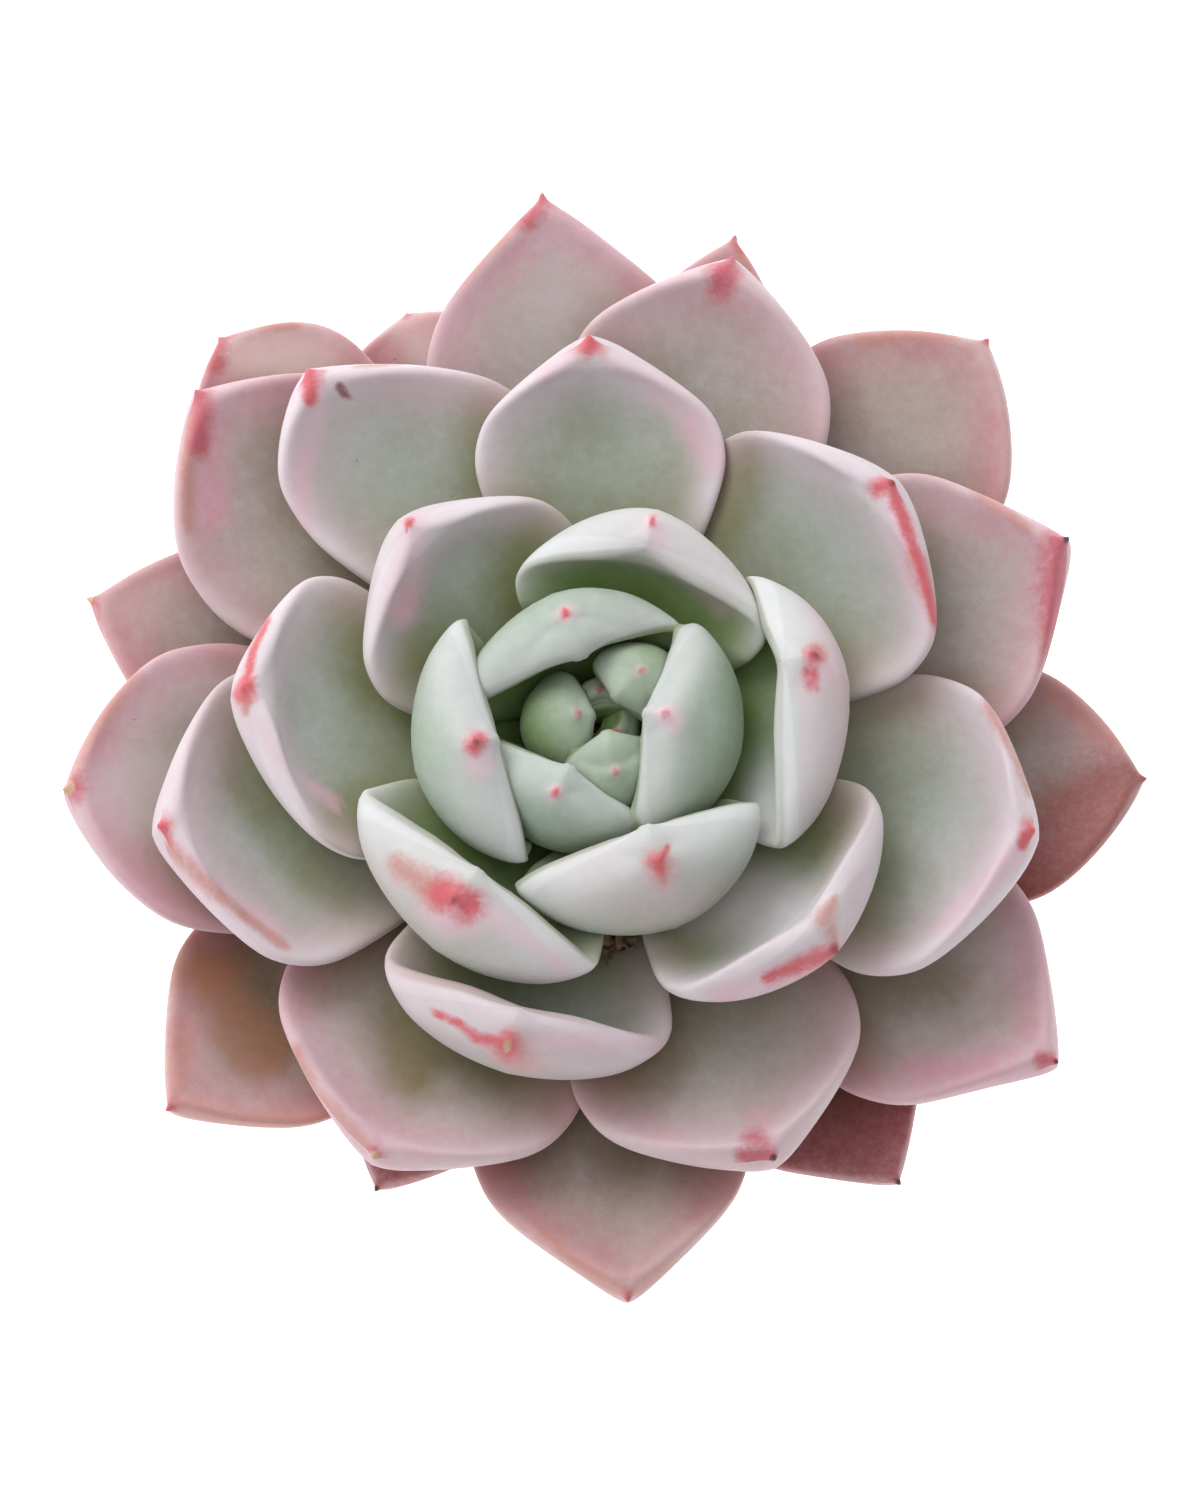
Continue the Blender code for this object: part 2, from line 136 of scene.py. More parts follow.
LEAVES = (
    Leaf(100, 2.6, 96.3, 7.2, 80, 100, thick=3.4, hood=0.6),
    Leaf(-48, 2.0, 95.8, 7.0, 80, 100, thick=3.4, hood=0.6),
    Leaf(-174, 2, 97.5, 11, 25, 160, low=1.1, high=1.0, widest=0.55, thick=3.2),
    Leaf(44, 3.4, 98.5, 10, 42, 140, low=0.75, high=0.7, cup=0.2, widest=0.6, thick=4.8, hood=1.4),
    Leaf(-79, 4.3, 98.5, 10, 42, 135, low=0.72, high=0.66, cup=0.2, widest=0.6, thick=4.8, hood=1.4),
    Leaf(-118, 8.3, 99.5, 21, 30, 140, low=0.68, high=0.78, cup=0.34, left=0.82, widest=0.6, blunt=-1.6),
    Leaf(112, 7.8, 100.3, 22, 40, 145, low=0.55, high=0.55, cup=0.40, left=1.25, right=0.97, widest=0.55,
         blunt=-1.4, hood=1.5),
    Leaf(-13, 5.2, 101, 22.5, 28, 150, low=0.7, high=0.8, cup=0.25, right=0.95, blunt=-1.8, hood=0.7),
    Leaf(-166, 11.7, 101, 25, 28, 142, low=0.58, high=0.78, cup=0.35, left=0.97, right=1.1, sweep=1,
         blunt=-1.9, hood=0.6),
    Leaf(-71, 14.4, 100.5, 25.5, 28, 136, low=0.64, high=0.78, cup=0.37, left=0.92, right=1.08, blunt=-1.6),
    Leaf(75.5, 17.3, 99.8, 27, 36, 110, low=0.5, high=0.5, cup=0.34, left=0.9, right=1.0, widest=0.57,
         blunt=0.1, hood=0.5),
    Leaf(5.5, 18.9, 99.0, 28.5, 28, 122, low=0.6, high=0.66, cup=0.36, left=0.84, right=1.12, sweep=3,
         blunt=-0.8, hood=0.6),
    Leaf(-127, 21.4, 98, 28.5, 26, 126, low=0.56, high=0.68, right=1.04, blunt=-1.0),
    Leaf(134.5, 26.8, 97, 27, 31, 68, low=0.40, high=0.38, cup=0.29, right=0.92, widest=0.58, blunt=0.4,
         hood=0.36),
    Leaf(-45.5, 29.2, 95.4, 28.5, 30, 84, low=0.38, high=0.42, cup=0.26, blunt=0.3),
    Leaf(182.5, 35, 94, 28, 29, 66, cup=0.25, right=1.05, blunt=0.2, sweep=-5, hood=0.4),
    Leaf(92, 39.5, 93.5, 27, 30, 60, cup=0.24, left=0.88, hood=0.35),
    Leaf(41, 37.5, 93, 28, 26, 60, cup=0.24, left=1.1, right=1.1, blunt=0.5, hood=0.3),
    Leaf(-106, 30.6, 92.4, 29.5, 21, 104, low=0.48, high=0.6, cup=0.24, blunt=0.2),
    Leaf(-13, 43, 90, 29, 23, 50, cup=0.23, left=0.97, right=1.2, blunt=0.5, hood=0.2),
    Leaf(119.5, 47.5, 89.5, 27, 22, 48, cup=0.22, left=0.88, right=1.08, blunt=0.3, sweep=7),
    Leaf(-168.5, 44.5, 88, 29, 20, 50, cup=0.21, left=1.12, right=1.05, blunt=0.3),
    Leaf(-68, 44.5, 84, 28, 15, 42, cup=0.21, right=1.12, blunt=0.3),
    Leaf(75.5, 52.3, 87.5, 28, 18, 42, cup=0.2, blunt=0.2),
    Leaf(-119, 46.5, 82, 28.5, 11, 38, cup=0.2, left=1.08, right=1.22, blunt=0.3),
    Leaf(24.5, 51, 86.5, 29, 16, 40, cup=0.19, left=1.03, blunt=-0.4),
    Leaf(137.5, 56, 83.5, 28, 12, 38, cup=0.18, left=1.09, blunt=0.2),
    Leaf(-34.5, 54.5, 80, 28, 10, 32, cup=0.18, blunt=-0.6),
    Leaf(96, 60, 81.5, 28, 8, 30, cup=0.17, blunt=-0.6),
    Leaf(-176.5, 54, 81, 29, 8, 32, cup=0.17, left=1.05, right=1.05, blunt=0.5),
    Leaf(-87.5, 54, 76, 27.5, 4, 25, cup=0.16, left=0.97, right=1.1, blunt=-0.3),
    Leaf(48.5, 59.5, 80, 27, 6, 25, cup=0.15, left=1.08, blunt=0.3),
    Leaf(-1, 54.7, 76.5, 27, 2, 20, cup=0.15, left=0.92, blunt=0.3),
    Leaf(-141.5, 55.5, 74.5, 27, 3, 20, cup=0.14, left=0.86, right=1.03),
    Leaf(160, 56, 72.5, 25, -6, 16, cup=0.14, left=0.85),
    Leaf(130.6, 60.8, 76.5, 25, 1, 18, cup=0.13, left=0.76, right=0.84, blunt=1.4),
    Leaf(-54.5, 51, 72, 25, -3, 16, cup=0.12, left=0.9, right=0.95, blunt=-0.5),
    Leaf(112, 55, 70, 19, -8, 12, cup=0.12, right=1.0, blunt=2.0),
    Leaf(80.5, 59.2, 75, 21, -4, 14, cup=0.11, blunt=-0.2, sweep=-4),
    Leaf(-118.5, 47.5, 69.5, 20, -7, 10, cup=0.11, left=0.9),
)

TIP = ((0, 0),)
PINK, PALE, DEEP, WARM, RED, BLOOD, DARK, CORK, TAN = Tint
BOTH = Face.BOTH
MARKS: dict[int, tuple[Mark, ...]] = {
    # rosy points of the inner cup
    6: (Mark(RED, ((0, -0.3), (0, 0.6)), 0.42, 0.25), Mark(PINK, TIP, 1.6, strength=0.8)),
    7: (Mark(RED, ((0, -0.2), (0, 0.9)), 0.50, 0.25), Mark(PINK, TIP, 1.8, strength=0.9)),
    8: (Mark(PINK, ((0, 0), (0.5, -0.5)), 2.2), Mark(RED, TIP, 0.5, strength=0.5)),
    9: (Mark(RED, ((-0.2, -0.4), (0.2, 0.2)), 1.1), Mark(PINK, ((0, 0), (0.5, -2)), 2.6),
        Mark(BLOOD, TIP, 0.4)),
    10: (Mark(PINK, ((-7, -1), (8, -5)), 7.0, strength=0.45), Mark(RED, ((1.0, 1.3), (0.3, 0)), 0.35),
         Mark(PINK, ((0, -0.5), (0.5, -2)), 2.6), Mark(WARM, ((0, -0.3), (0.4, -1.8)), 1.5, 1.1),
         Mark(RED, ((-0.3, -0.2), (0.2, -1.0)), 0.8, 0.6)),
    11: (Mark(PINK, ((-1, -1), (8, -5)), 5.5, strength=0.6), Mark(RED, ((0, 0.7), (0, -0.4)), 0.42),
         Mark(PINK, ((0, 0), (0.5, -2)), 2.4),
         Mark(PINK, ((1, -2), (7, -7)), 2.4, strength=0.4, face=BOTH)),
    # leaf 12: the PALE mark paints light on the inner face
    12: (Mark(PALE, ((-5, 0), (-5, -8), (-5, -16)), 4.0, strength=0.8, face=BOTH), Mark(RED, TIP, 1.1),
         Mark(WARM, ((0.3, 0.4),), 1.2), Mark(BLOOD, TIP, 0.65),
         Mark(PINK, ((1.5, 7), (2.5, -14)), 6.0, strength=0.75),
         Mark(RED, ((-0.5, -1.6), (-0.2, -3.0)), 0.8, strength=0.45),
         Mark(PINK, ((1.6, -0.3), (-0.6, -2.8)), 3.0),
         Mark(PINK, ((-0.5, -4), (-1, -14)), 1.8, strength=0.7)),
    13: (Mark(PINK, ((-8, 4), (10, -6)), 7.0, strength=0.45),
         Mark(RED, ((-1.2, 0.9), (1.4, -0.4)), 1.9, 1.7), Mark(BLOOD, TIP, 0.6),
         Mark(WARM, ((-1.5, 0.8), (-5.8, 4.2)), 1.7, 1.1, 0.85),
         Mark(PINK, ((-1.5, -0.5), (1.5, -1.2)), 4.4), Mark(PINK, ((2, -0.5), (12, -6.5)), 2.6, 1.8, 0.9)),
    14: (Mark(RED, ((0.1, 0.3), (0, -0.7)), 0.7, 0.35),
         Mark(PINK, ((0.4, 0), (0, -3.5), (-1.2, -8)), 3.8, 3.0, face=BOTH),
         Mark(PINK, ((0.5, 0.5), (6, 3.5)), 2.6, strength=0.6, face=BOTH)),
    # leaf 15: the PALE mark paints light
    15: (Mark(PALE, ((-6, 5), (-15, 8)), 7.0, strength=0.6, face=BOTH),
         Mark(RED, ((0, 0), (-3, -1.2), (-6.8, -2.8)), 0.85, 0.6), Mark(BLOOD, TIP, 0.75),
         Mark(WARM, ((-0.1, 5), (-1.2, 2.6)), 0.4, 1.3, face=BOTH),
         Mark(WARM, ((-1.2, 2.6), (0, 0.2)), 1.3, 0.4, face=BOTH),
         Mark(PINK, ((0, 0), (-4, -2), (-12, -4.5)), 2.6, 2.0),
         Mark(PINK, ((1, 2), (3, 8)), 3.0, strength=0.5, face=BOTH)),
    16: (Mark(RED, ((0, -0.3), (0.2, 0.8)), 1.5, 1.0, face=BOTH),
         Mark(RED, ((0.3, 1), (0.7, 4), (2.2, 7.5)), 0.62, 0.45, face=BOTH),
         Mark(WARM, ((0, 0), (0.2, -2.4)), 1.0, 0.4, face=BOTH),
         Mark(PINK, ((0, -2), (4, -8), (9, -11)), 1.8, 1.2, 0.8, BOTH)),
    # the standing middle ring
    # leaf 17: the DEEP mark paints shade over the middle of the blade
    17: (Mark(DEEP, ((0, -9), (0, -16)), 6.0, 9.0, 0.45), Mark(WARM, ((-0.7, -0.4), (0.7, -0.4)), 1.6),
         Mark(RED, ((0, -0.5),), 1.4),
         Mark(PINK, ((-4, -2.5), (0, 0), (4, -2), (10, -6), (13, -12)), 3.6, strength=0.95)),
    18: (Mark(RED, ((-1.4, -0.5), (0, 0)), 1.2, face=BOTH),
         Mark(RED, ((0, 0), (1.1, -3.6), (2.4, -7.6), (4.3, -13.8)), 1.1, 0.6, face=BOTH),
         Mark(WARM, ((2.8, -8), (4.6, -14.5)), 1.3, 0.8, face=BOTH),
         Mark(PINK, ((0, 0), (2, -8), (5, -16)), 3.2, 2.4, face=BOTH), Mark(BLOOD, TIP, 0.5, face=BOTH)),
    19: (Mark(CORK, TIP, 0.7), Mark(RED, TIP, 1.35),
         Mark(RED, ((-1, 0.6), (-3, 0.9), (-4.6, 2.4), (-7.4, 3.9)), 0.62, 0.36, 0.7),
         Mark(WARM, ((0.2, -1), (2.4, -4.6)), 2.4, 2.0, 0.85), Mark(PINK, ((0, 0), (1.5, -3)), 4.0),
         Mark(PINK, ((3, 0.5), (15, 1)), 2.2, 1.6, 0.9)),
    20: (Mark(RED, ((0, 0), (-1.1, -1.6)), 1.4, 0.6, face=BOTH),
         Mark(WARM, ((-4.3, 13), (-1.6, 8), (-0.3, 4)), 0.8, 0.6, 0.9, BOTH),
         Mark(PINK, ((-0.5, -1), (-4, -5), (-8.5, -9.5)), 3.2, 2.4, face=BOTH)),
    21: (Mark(PINK, ((2, 0.5), (14, 1.5)), 3.2, strength=0.6),
         Mark(WARM, ((5, 0.8), (9, 1.4)), 0.6, strength=0.6), Mark(RED, ((0, 0), (0.3, -3)), 1.7, 0.8),
         Mark(PINK, ((0.5, -1), (0.4, -5), (-1, -10), (-0.5, -16)), 3.2, 2.2, 0.95),
         Mark(BLOOD, ((3.2, -1.7), (4.0, -2.8)), 0.55)),
    # leaf 22: the DEEP mark paints shade
    22: (Mark(DEEP, ((8, 6), (13, -1), (18, -6)), 4.5, 5.5, 0.8), Mark(RED, ((0, 0), (0.4, -2)), 1.5, 0.9),
         Mark(WARM, ((1, -2.2), (6, -7), (12.5, -11.8)), 0.9, 0.6, 0.7, BOTH),
         Mark(PINK, ((0.2, -1), (4, -6), (11, -10)), 3.4, 2.6, face=BOTH)),
    23: (Mark(RED, ((-2.8, 0.2), (-0.5, 0.1)), 1.1), Mark(DARK, TIP, 0.55),
         Mark(RED, ((-1.8, 1.6),), 1.5, strength=0.35), Mark(PINK, ((-1.2, 4.2), (-0.6, 1.5)), 2.4, 3.0),
         Mark(PINK, ((-3, -0.5), (-14, 3)), 2.6, strength=0.8)),
    24: (Mark(RED, ((-0.9, -1.2), (-1.2, -3)), 2.1, 1.5), Mark(PINK, ((0, 0), (-0.3, -3)), 4.2, 3.2)),
    # leaf 25: the DEEP mark paints shade
    25: (Mark(DEEP, ((4, 14), (4, 9)), 9.0, 6.0), Mark(CORK, TIP, 0.65), Mark(RED, TIP, 1.2, strength=0.8),
         Mark(WARM, ((-1, 1), (-6, 6.5), (-8, 11)), 0.9, 0.7, 0.85),
         Mark(PINK, ((2, 0), (12, 1)), 2.8, strength=0.7)),
    # the leaves that lie back
    26: (Mark(DARK, TIP, 0.6), Mark(RED, ((-0.6, -0.8), (-1.3, -6), (-1.3, -11)), 2.5, 1.6),
         Mark(WARM, ((-1.6, -9), (-2.3, -15)), 1.5, 0.9),
         Mark(WARM, ((-9, 5), (-6, 3), (-4, 1)), 0.7, strength=0.6),
         Mark(PINK, ((-1, -1), (-2, -12)), 4.6)),
    27: (Mark(RED, ((0, 0), (0.6, -2), (0.4, -6)), 1.8, 1.2), Mark(PINK, ((1, -2), (1, -12)), 4.5),
         Mark(WARM, ((-0.4, -3), (-0.8, -8), (-0.6, -14)), 1.2, 0.8, 0.9),
         Mark(PINK, ((1, 0.3), (7, 1)), 2.2)),
    # leaf 28: the DEEP mark paints shade
    28: (Mark(DEEP, ((-18, 10), (-12, 9)), 9.0, 6.0, 0.7), Mark(RED, ((0, 0), (-1.4, 0.2)), 1.3, 1.0, 0.7),
         Mark(DARK, TIP, 0.4), Mark(PINK, ((-1, 0), (-14, -1)), 3.6), Mark(PINK, ((0, 1), (-1, 10)), 3.6)),
    # leaf 29: the PALE mark paints light
    29: (Mark(RED, ((0, 0), (-1.6, -2.6)), 1.7, 1.6), Mark(PALE, ((2, -8), (4, -15)), 10.0, strength=0.15),
         Mark(WARM, ((-2.2, -2.4), (-10, -11)), 0.8, 0.6, 0.7),
         Mark(PINK, ((-7, -7), (0, 0), (6, -5)), 4.0), Mark(WARM, ((1, -0.8), (8, -5)), 0.8, 0.5, 0.6)),
    # leaf 30: the PALE mark paints light
    30: (Mark(PALE, ((5, 0), (11, 0)), 8.0, strength=0.4), Mark(CORK, ((0.4, 0.1),), 1.0),
         Mark(RED, ((0.5, 0),), 1.9), Mark(WARM, ((0.6, 2.5), (3.2, 7), (6.5, 12)), 1.6, 1.2, 0.85),
         Mark(PINK, ((0, 0), (3.2, -6), (10, -13)), 3.4, 2.6)),
    31: (Mark(WARM, ((0, 0), (-5, 3.5), (-9, 7.5)), 1.0, 0.8), Mark(RED, TIP, 0.9),
         Mark(WARM, ((1, 0.5), (8, 6)), 0.8, 0.6, 0.6), Mark(PINK, ((-10, 8), (0, 0), (10, 8)), 3.4),
         # the DEEP mark paints shade
         Mark(DEEP, ((0, 22), (0, 15)), 9.0, 7.0, 0.8)),
    32: (Mark(WARM, ((-13, 0), (-8, 0.3), (-4, 0.1)), 0.8, 1.0), Mark(RED, TIP, 0.9)),
    33: (Mark(TAN, ((-1.5, -1.5), (-6, -6), (-10, -10)), 4.0, 12.0),
         Mark(BLOOD, ((-4, -5), (-9, -10)), 8.0, strength=0.38),
         Mark(WARM, ((-2, -2), (-9, -8)), 2.4, 4.0, 0.8), Mark(PINK, TIP, 4.0),
         Mark(WARM, ((-3, 3.5), (-9, 9)), 1.4, 1.2, 0.7), Mark(WARM, ((0, -0.5), (-6, -6.5)), 1.1, 0.9),
         Mark(RED, TIP, 0.8)),
    34: (Mark(TAN, ((4, 14),), 4.2), Mark(TAN, ((9, 7), (7, 9)), 3.4, strength=0.35),
         # the DEEP mark paints shade
         Mark(DEEP, ((10, 8), (6, 16)), 9.0), Mark(RED, TIP, 1.3),
         Mark(WARM, ((1.5, 8), (0, 0), (8, -1.6), (15, -1.2)), 1.6, 1.4, 0.75)),
    # leaf 35: the PALE mark paints light
    35: (Mark(PALE, ((2, 0), (6, 4)), 6.0, strength=0.35), Mark(CORK, TIP, 0.7),
         Mark(RED, ((0, 0), (1, -4)), 1.0, 0.6)),
    # leaf 36: the PALE mark paints light
    36: (Mark(PALE, ((2, -1), (10, -1)), 6.0, strength=0.8),
         Mark(RED, ((-0.5, -3), (0, 0), (2.5, 1.6)), 1.5, 1.0), Mark(WARM, ((2, 1), (8, 1)), 0.9, 0.6)),
    # leaf 37: the DEEP mark and the broad, weak BLOOD mark paint shade over the leaf
    37: (Mark(DARK, TIP, 0.45), Mark(PINK, TIP, 4.0), Mark(DEEP, ((0, 0), (-4, 4)), 14.0),
         Mark(BLOOD, ((0, 0), (-5, 5)), 24.0, strength=0.38)),
    # leaf 38: the PALE mark paints light
    38: (Mark(RED, TIP, 1.0), Mark(PALE, ((0, 0), (3, -3)), 6.0, strength=0.9)),
    39: (Mark(RED, ((0, 0), (0.5, -1.5)), 1.3, 0.8), Mark(WARM, ((0, 0), (1.5, -6)), 0.9)),
    # leaf 40: the DEEP mark and the broad, weak BLOOD mark paint shade over the leaf
    40: (Mark(DARK, TIP, 0.45), Mark(PINK, TIP, 4.0), Mark(DEEP, ((0, 0), (4, 4)), 12.0),
         Mark(BLOOD, ((0, 0), (4, 5)), 16.0, strength=0.3)),
}


# ---- curves and meshes -----------------------------------------------------------------------
def eased(at: np.ndarray, positions: tuple, values: tuple | np.ndarray) -> np.ndarray:
    """Read a smooth curve through control values that never overshoots them.

    Args:
        at: where to read it.
        positions: rising positions of the control values.
        values: the control values.

    Returns:
        The curve's values.
    """
    xs, ys = np.asarray(positions, float), np.asarray(values, float)
    step = np.diff(xs)
    slope = np.diff(ys) / step
    tangent = np.empty_like(ys)
    tangent[0], tangent[-1] = slope[0], slope[-1]
    both = slope[:-1] * slope[1:]
    tangent[1:-1] = np.where(both > 0, 2 * both / (slope[:-1] + slope[1:] + 1e-12), 0)
    i = np.clip(np.searchsorted(xs, at, side="right") - 1, 0, len(xs) - 2)
    t = (at - xs[i]) / step[i]
    return ((2 * t**3 - 3 * t**2 + 1) * ys[i] + (t**3 - 2 * t**2 + t) * step[i] * tangent[i]
            + (3 * t**2 - 2 * t**3) * ys[i + 1] + (t**3 - t**2) * step[i] * tangent[i + 1])


def smoothed(values: np.ndarray, width: int) -> np.ndarray:
    """Average a fine curve over a bell-shaped window, keeping its two ends.

    Args:
        values: the curve's evenly spaced values.
        width: the bell's spread, in steps.

    Returns:
        As many values, evened out.
    """
    reach = np.arange(-3 * width, 3 * width + 1)
    bell = np.exp(-0.5 * (reach / width) ** 2)
    padded = np.concatenate([2 * values[0] - values[3 * width:0:-1], values,
                             2 * values[-1] - values[-2:-3 * width - 2:-1]])
    return np.convolve(padded, bell / bell.sum(), mode="valid")


def soft_step(x: np.ndarray) -> np.ndarray:
    """Ease from 0 to 1 as x goes from 0 to 1."""
    x = np.clip(x, 0, 1)
    return x * x * (3 - 2 * x)


def bezier(points: tuple, t: np.ndarray) -> tuple[np.ndarray, np.ndarray]:
    """Read a cubic curve.

    Args:
        points: its four control points.
        t: where to read it, from 0 to 1.

    Returns:
        Positions and unit directions there.
    """
    t = np.asarray(t, float)[:, None]
    weights = ((1 - t)**3, 3 * t * (1 - t)**2, 3 * t**2 * (1 - t), t**3)
    position = sum(w * p for w, p in zip(weights, points))
    rates = (3 * (1 - t)**2, 6 * t * (1 - t), 3 * t**2)
    direction = sum(w * (q - p) for w, p, q in zip(rates, points[:-1], points[1:]))
    return position, direction / np.linalg.norm(direction, axis=1, keepdims=True)


def distance_to_path(points: np.ndarray, path: np.ndarray) -> tuple[np.ndarray, np.ndarray]:
    """Measure flat distances from points to a path.

    Args:
        points: N x 2 positions.
        path: M x 2 corners of the path.

    Returns:
        The distances, and how far along the path the nearest place is, from 0 to 1.
    """
    best = np.full(len(points), np.inf)
    share = np.zeros(len(points))
    if len(path) == 1:
        return np.linalg.norm(points - path[0], axis=1), share
    legs = len(path) - 1
    for k in range(legs):
        a, b = path[k], path[k + 1]
        along = np.clip((points - a) @ (b - a) / max(float((b - a) @ (b - a)), 1e-12), 0, 1)
        gap = np.linalg.norm(points - a - along[:, None] * (b - a), axis=1)
        nearer = gap < best
        best = np.where(nearer, gap, best)
        share = np.where(nearer, (k + along) / legs, share)
    return best, share


def tube_faces(rings: int, sides: int) -> list[tuple[int, ...]]:
    """List the faces of a closed tube whose points are its rings, a last cap and a first cap.

    Args:
        rings: how many rings it has.
        sides: points in a ring.

    Returns:
        The faces.
    """
    faces = []
    for k in range(rings - 1):
        for j in range(sides):
            a, b = k * sides + j, k * sides + (j + 1) % sides
            faces.append((a, b, b + sides, a + sides))
    last, tip = (rings - 1) * sides, rings * sides
    for j in range(sides):
        faces.append((last + j, last + (j + 1) % sides, tip))
        faces.append((tip + 1, (j + 1) % sides, j))
    return faces


def place_mesh(name: str, verts: np.ndarray | list, faces: list, material: bpy.types.Material,
               masks: dict[str, np.ndarray] | None = None) -> bpy.types.Object:
    """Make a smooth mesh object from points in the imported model's frame.

    Args:
        name: the piece's name.
        verts: its points, in metres.
        faces: its faces.
        material: its finish.
        masks: values per point that the finish reads, by attribute name.

    Returns:
        The new object.
    """
    mesh = bpy.data.meshes.new(name)
    mesh.from_pydata([tuple(map(float, v)) for v in verts], [], faces)
    shape = bmesh.new()
    shape.from_mesh(mesh)
    bmesh.ops.recalc_face_normals(shape, faces=shape.faces)
    shape.to_mesh(mesh)
    shape.free()
    mesh.shade_smooth()
    for key, values in (masks or {}).items():
        held = mesh.attributes.new(key, "FLOAT", "POINT")
        held.data.foreach_set("value", np.asarray(values, np.float32))
    mesh.materials.append(material)
    item = bpy.data.objects.new(name, mesh)
    bpy.context.scene.collection.objects.link(item)
    return item


def attach(item: bpy.types.Object, slot: str, *nodes: str) -> None:
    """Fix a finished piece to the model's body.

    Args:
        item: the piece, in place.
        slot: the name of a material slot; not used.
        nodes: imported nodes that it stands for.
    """
    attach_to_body(item, "root")
    if nodes:
        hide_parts(*nodes)
    LOG.info("%s: %d faces", item.name, len(item.data.polygons))


def dress(node: str, material: bpy.types.Material) -> bpy.types.Object:
    """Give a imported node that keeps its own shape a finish.

    Args:
        node: its name.
        material: the finish.

    Returns:
        The node's object.
    """
    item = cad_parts[node]
    item.data.materials.clear()
    item.data.materials.append(material)
    LOG.info("%s: %d faces", item.name, len(item.data.polygons))
    return item


# ---- shader nodes ----------------------------------------------------------------------------
class Bench:
    """Short calls for adding and linking the nodes of one tree."""

    def __init__(self, tree: bpy.types.NodeTree) -> None:
        """Work on this tree."""
        self.tree = tree

    def node(self, kind: str, **settings: object) -> bpy.types.Node:
        """Add a node.

        Args:
            kind: its type, without the usual first part.
            settings: its options, by name.

        Returns:
            The node.
        """
        made = self.tree.nodes.new("ShaderNode" + kind)
        for key, value in settings.items():
            setattr(made, key, value)
        return made

    def feed(self, socket: Socket, value: Fed) -> None:
        """Link an input to another socket, or set its value.

        Args:
            socket: the input.
            value: a socket to link from, a number, a vector or a colour without its alpha.
        """
        if isinstance(value, Socket):
            self.tree.links.new(value, socket)
        elif isinstance(value, tuple):
            socket.default_value = (*value, 1.0) if socket.type == "RGBA" else value
        else:
            socket.default_value = value

    def math(self, operation: str, a: Fed, b: Fed = 0.5, c: Fed = 0.5,
             clamp: bool = False) -> Socket:
        """Add a math node.

        Args:
            operation: what it works out.
            a: its first input.
            b: its second.
            c: its third.
            clamp: whether the result is kept between 0 and 1.

        Returns:
            Its result.
        """
        made = self.node("Math", operation=operation, use_clamp=clamp)
        for socket, value in zip(made.inputs, (a, b, c)):
            self.feed(socket, value)
        return made.outputs[0]

    def times(self, a: Fed, b: Fed, clamp: bool = False) -> Socket:
        """Multiply two values."""
        return self.math("MULTIPLY", a, b, clamp=clamp)

    def scaled(self, value: Fed, by: Fed, plus: Fed, clamp: bool = False) -> Socket:
        """Multiply a value and add to it."""
        return self.math("MULTIPLY_ADD", value, by, plus, clamp)

    def mix(self, factor: Fed, a: Fed, b: Fed) -> Socket:
        """Mix two colours.

        Args:
            factor: how much of the second shows.
            a: the first colour.
            b: the second.

        Returns:
            The mixed colour.
        """
        made = self.node("Mix", data_type="RGBA", clamp_factor=True)
        self.feed(made.inputs[0], factor)
        self.feed(made.inputs[6], a)
        self.feed(made.inputs[7], b)
        return made.outputs[2]

    def rise(self, value: Fed, low: Fed, high: Fed, to_low: Fed = 0.0, to_high: Fed = 1.0) -> Socket:
        """Ease from one value to another as the input goes from low to high.

        Args:
            value: the input.
            low: where it starts to rise.
            high: where it is done.
            to_low: the result up to there.
            to_high: the result from there on.

        Returns:
            The eased value.
        """
        made = self.node("MapRange", interpolation_type="SMOOTHSTEP")
        for key, given in (("Value", value), ("From Min", low), ("From Max", high),
                           ("To Min", to_low), ("To Max", to_high)):
            self.feed(made.inputs[key], given)
        return made.outputs[0]

    def noise(self, size: Fed, detail: float, rough: float, twist: float = 0.0) -> Socket:
        """Add a noise pattern.

        Args:
            size: how far across its lumps are, in metres.
            detail: how many finer layers it has.
            rough: how strong those are.
            twist: how far its outlines are bent.

        Returns:
            Its value.
        """
        made = self.node("TexNoise")
        self.feed(made.inputs["Scale"], self.math("DIVIDE", 1.0, size)
                  if isinstance(size, Socket) else 1.0 / size)
        preset(made, Detail=detail, Roughness=rough, Distortion=twist)
        self.feed(made.inputs["Vector"], self.node("TexCoord").outputs["Object"])
        return made.outputs["Fac"]

    def cells(self, size: Socket) -> bpy.types.Node:
        """Add a pattern of cells.

        Args:
            size: how far apart they are, in metres.

        Returns:
            Its node.
        """
        made = self.node("TexVoronoi", feature="F1")
        self.feed(made.inputs["Scale"], self.math("DIVIDE", 1.0, size))
        self.feed(made.inputs["Vector"], self.node("TexCoord").outputs["Object"])
        return made

    def attribute(self, name: str) -> Socket:
        """Read a value that the mesh carries per point."""
        return self.node("Attribute", attribute_name=name).outputs["Fac"]

    def place(self, group: bpy.types.NodeTree, **inputs: Fed) -> bpy.types.Node:
        """Place a shared effect.

        Args:
            group: the effect's node group.
            inputs: its own values; underscores stand for spaces.

        Returns:
            The placed node.
        """
        made = self.node("Group", node_tree=group)
        for key, value in inputs.items():
            self.feed(made.inputs[key.replace("_", " ")], value)
        return made


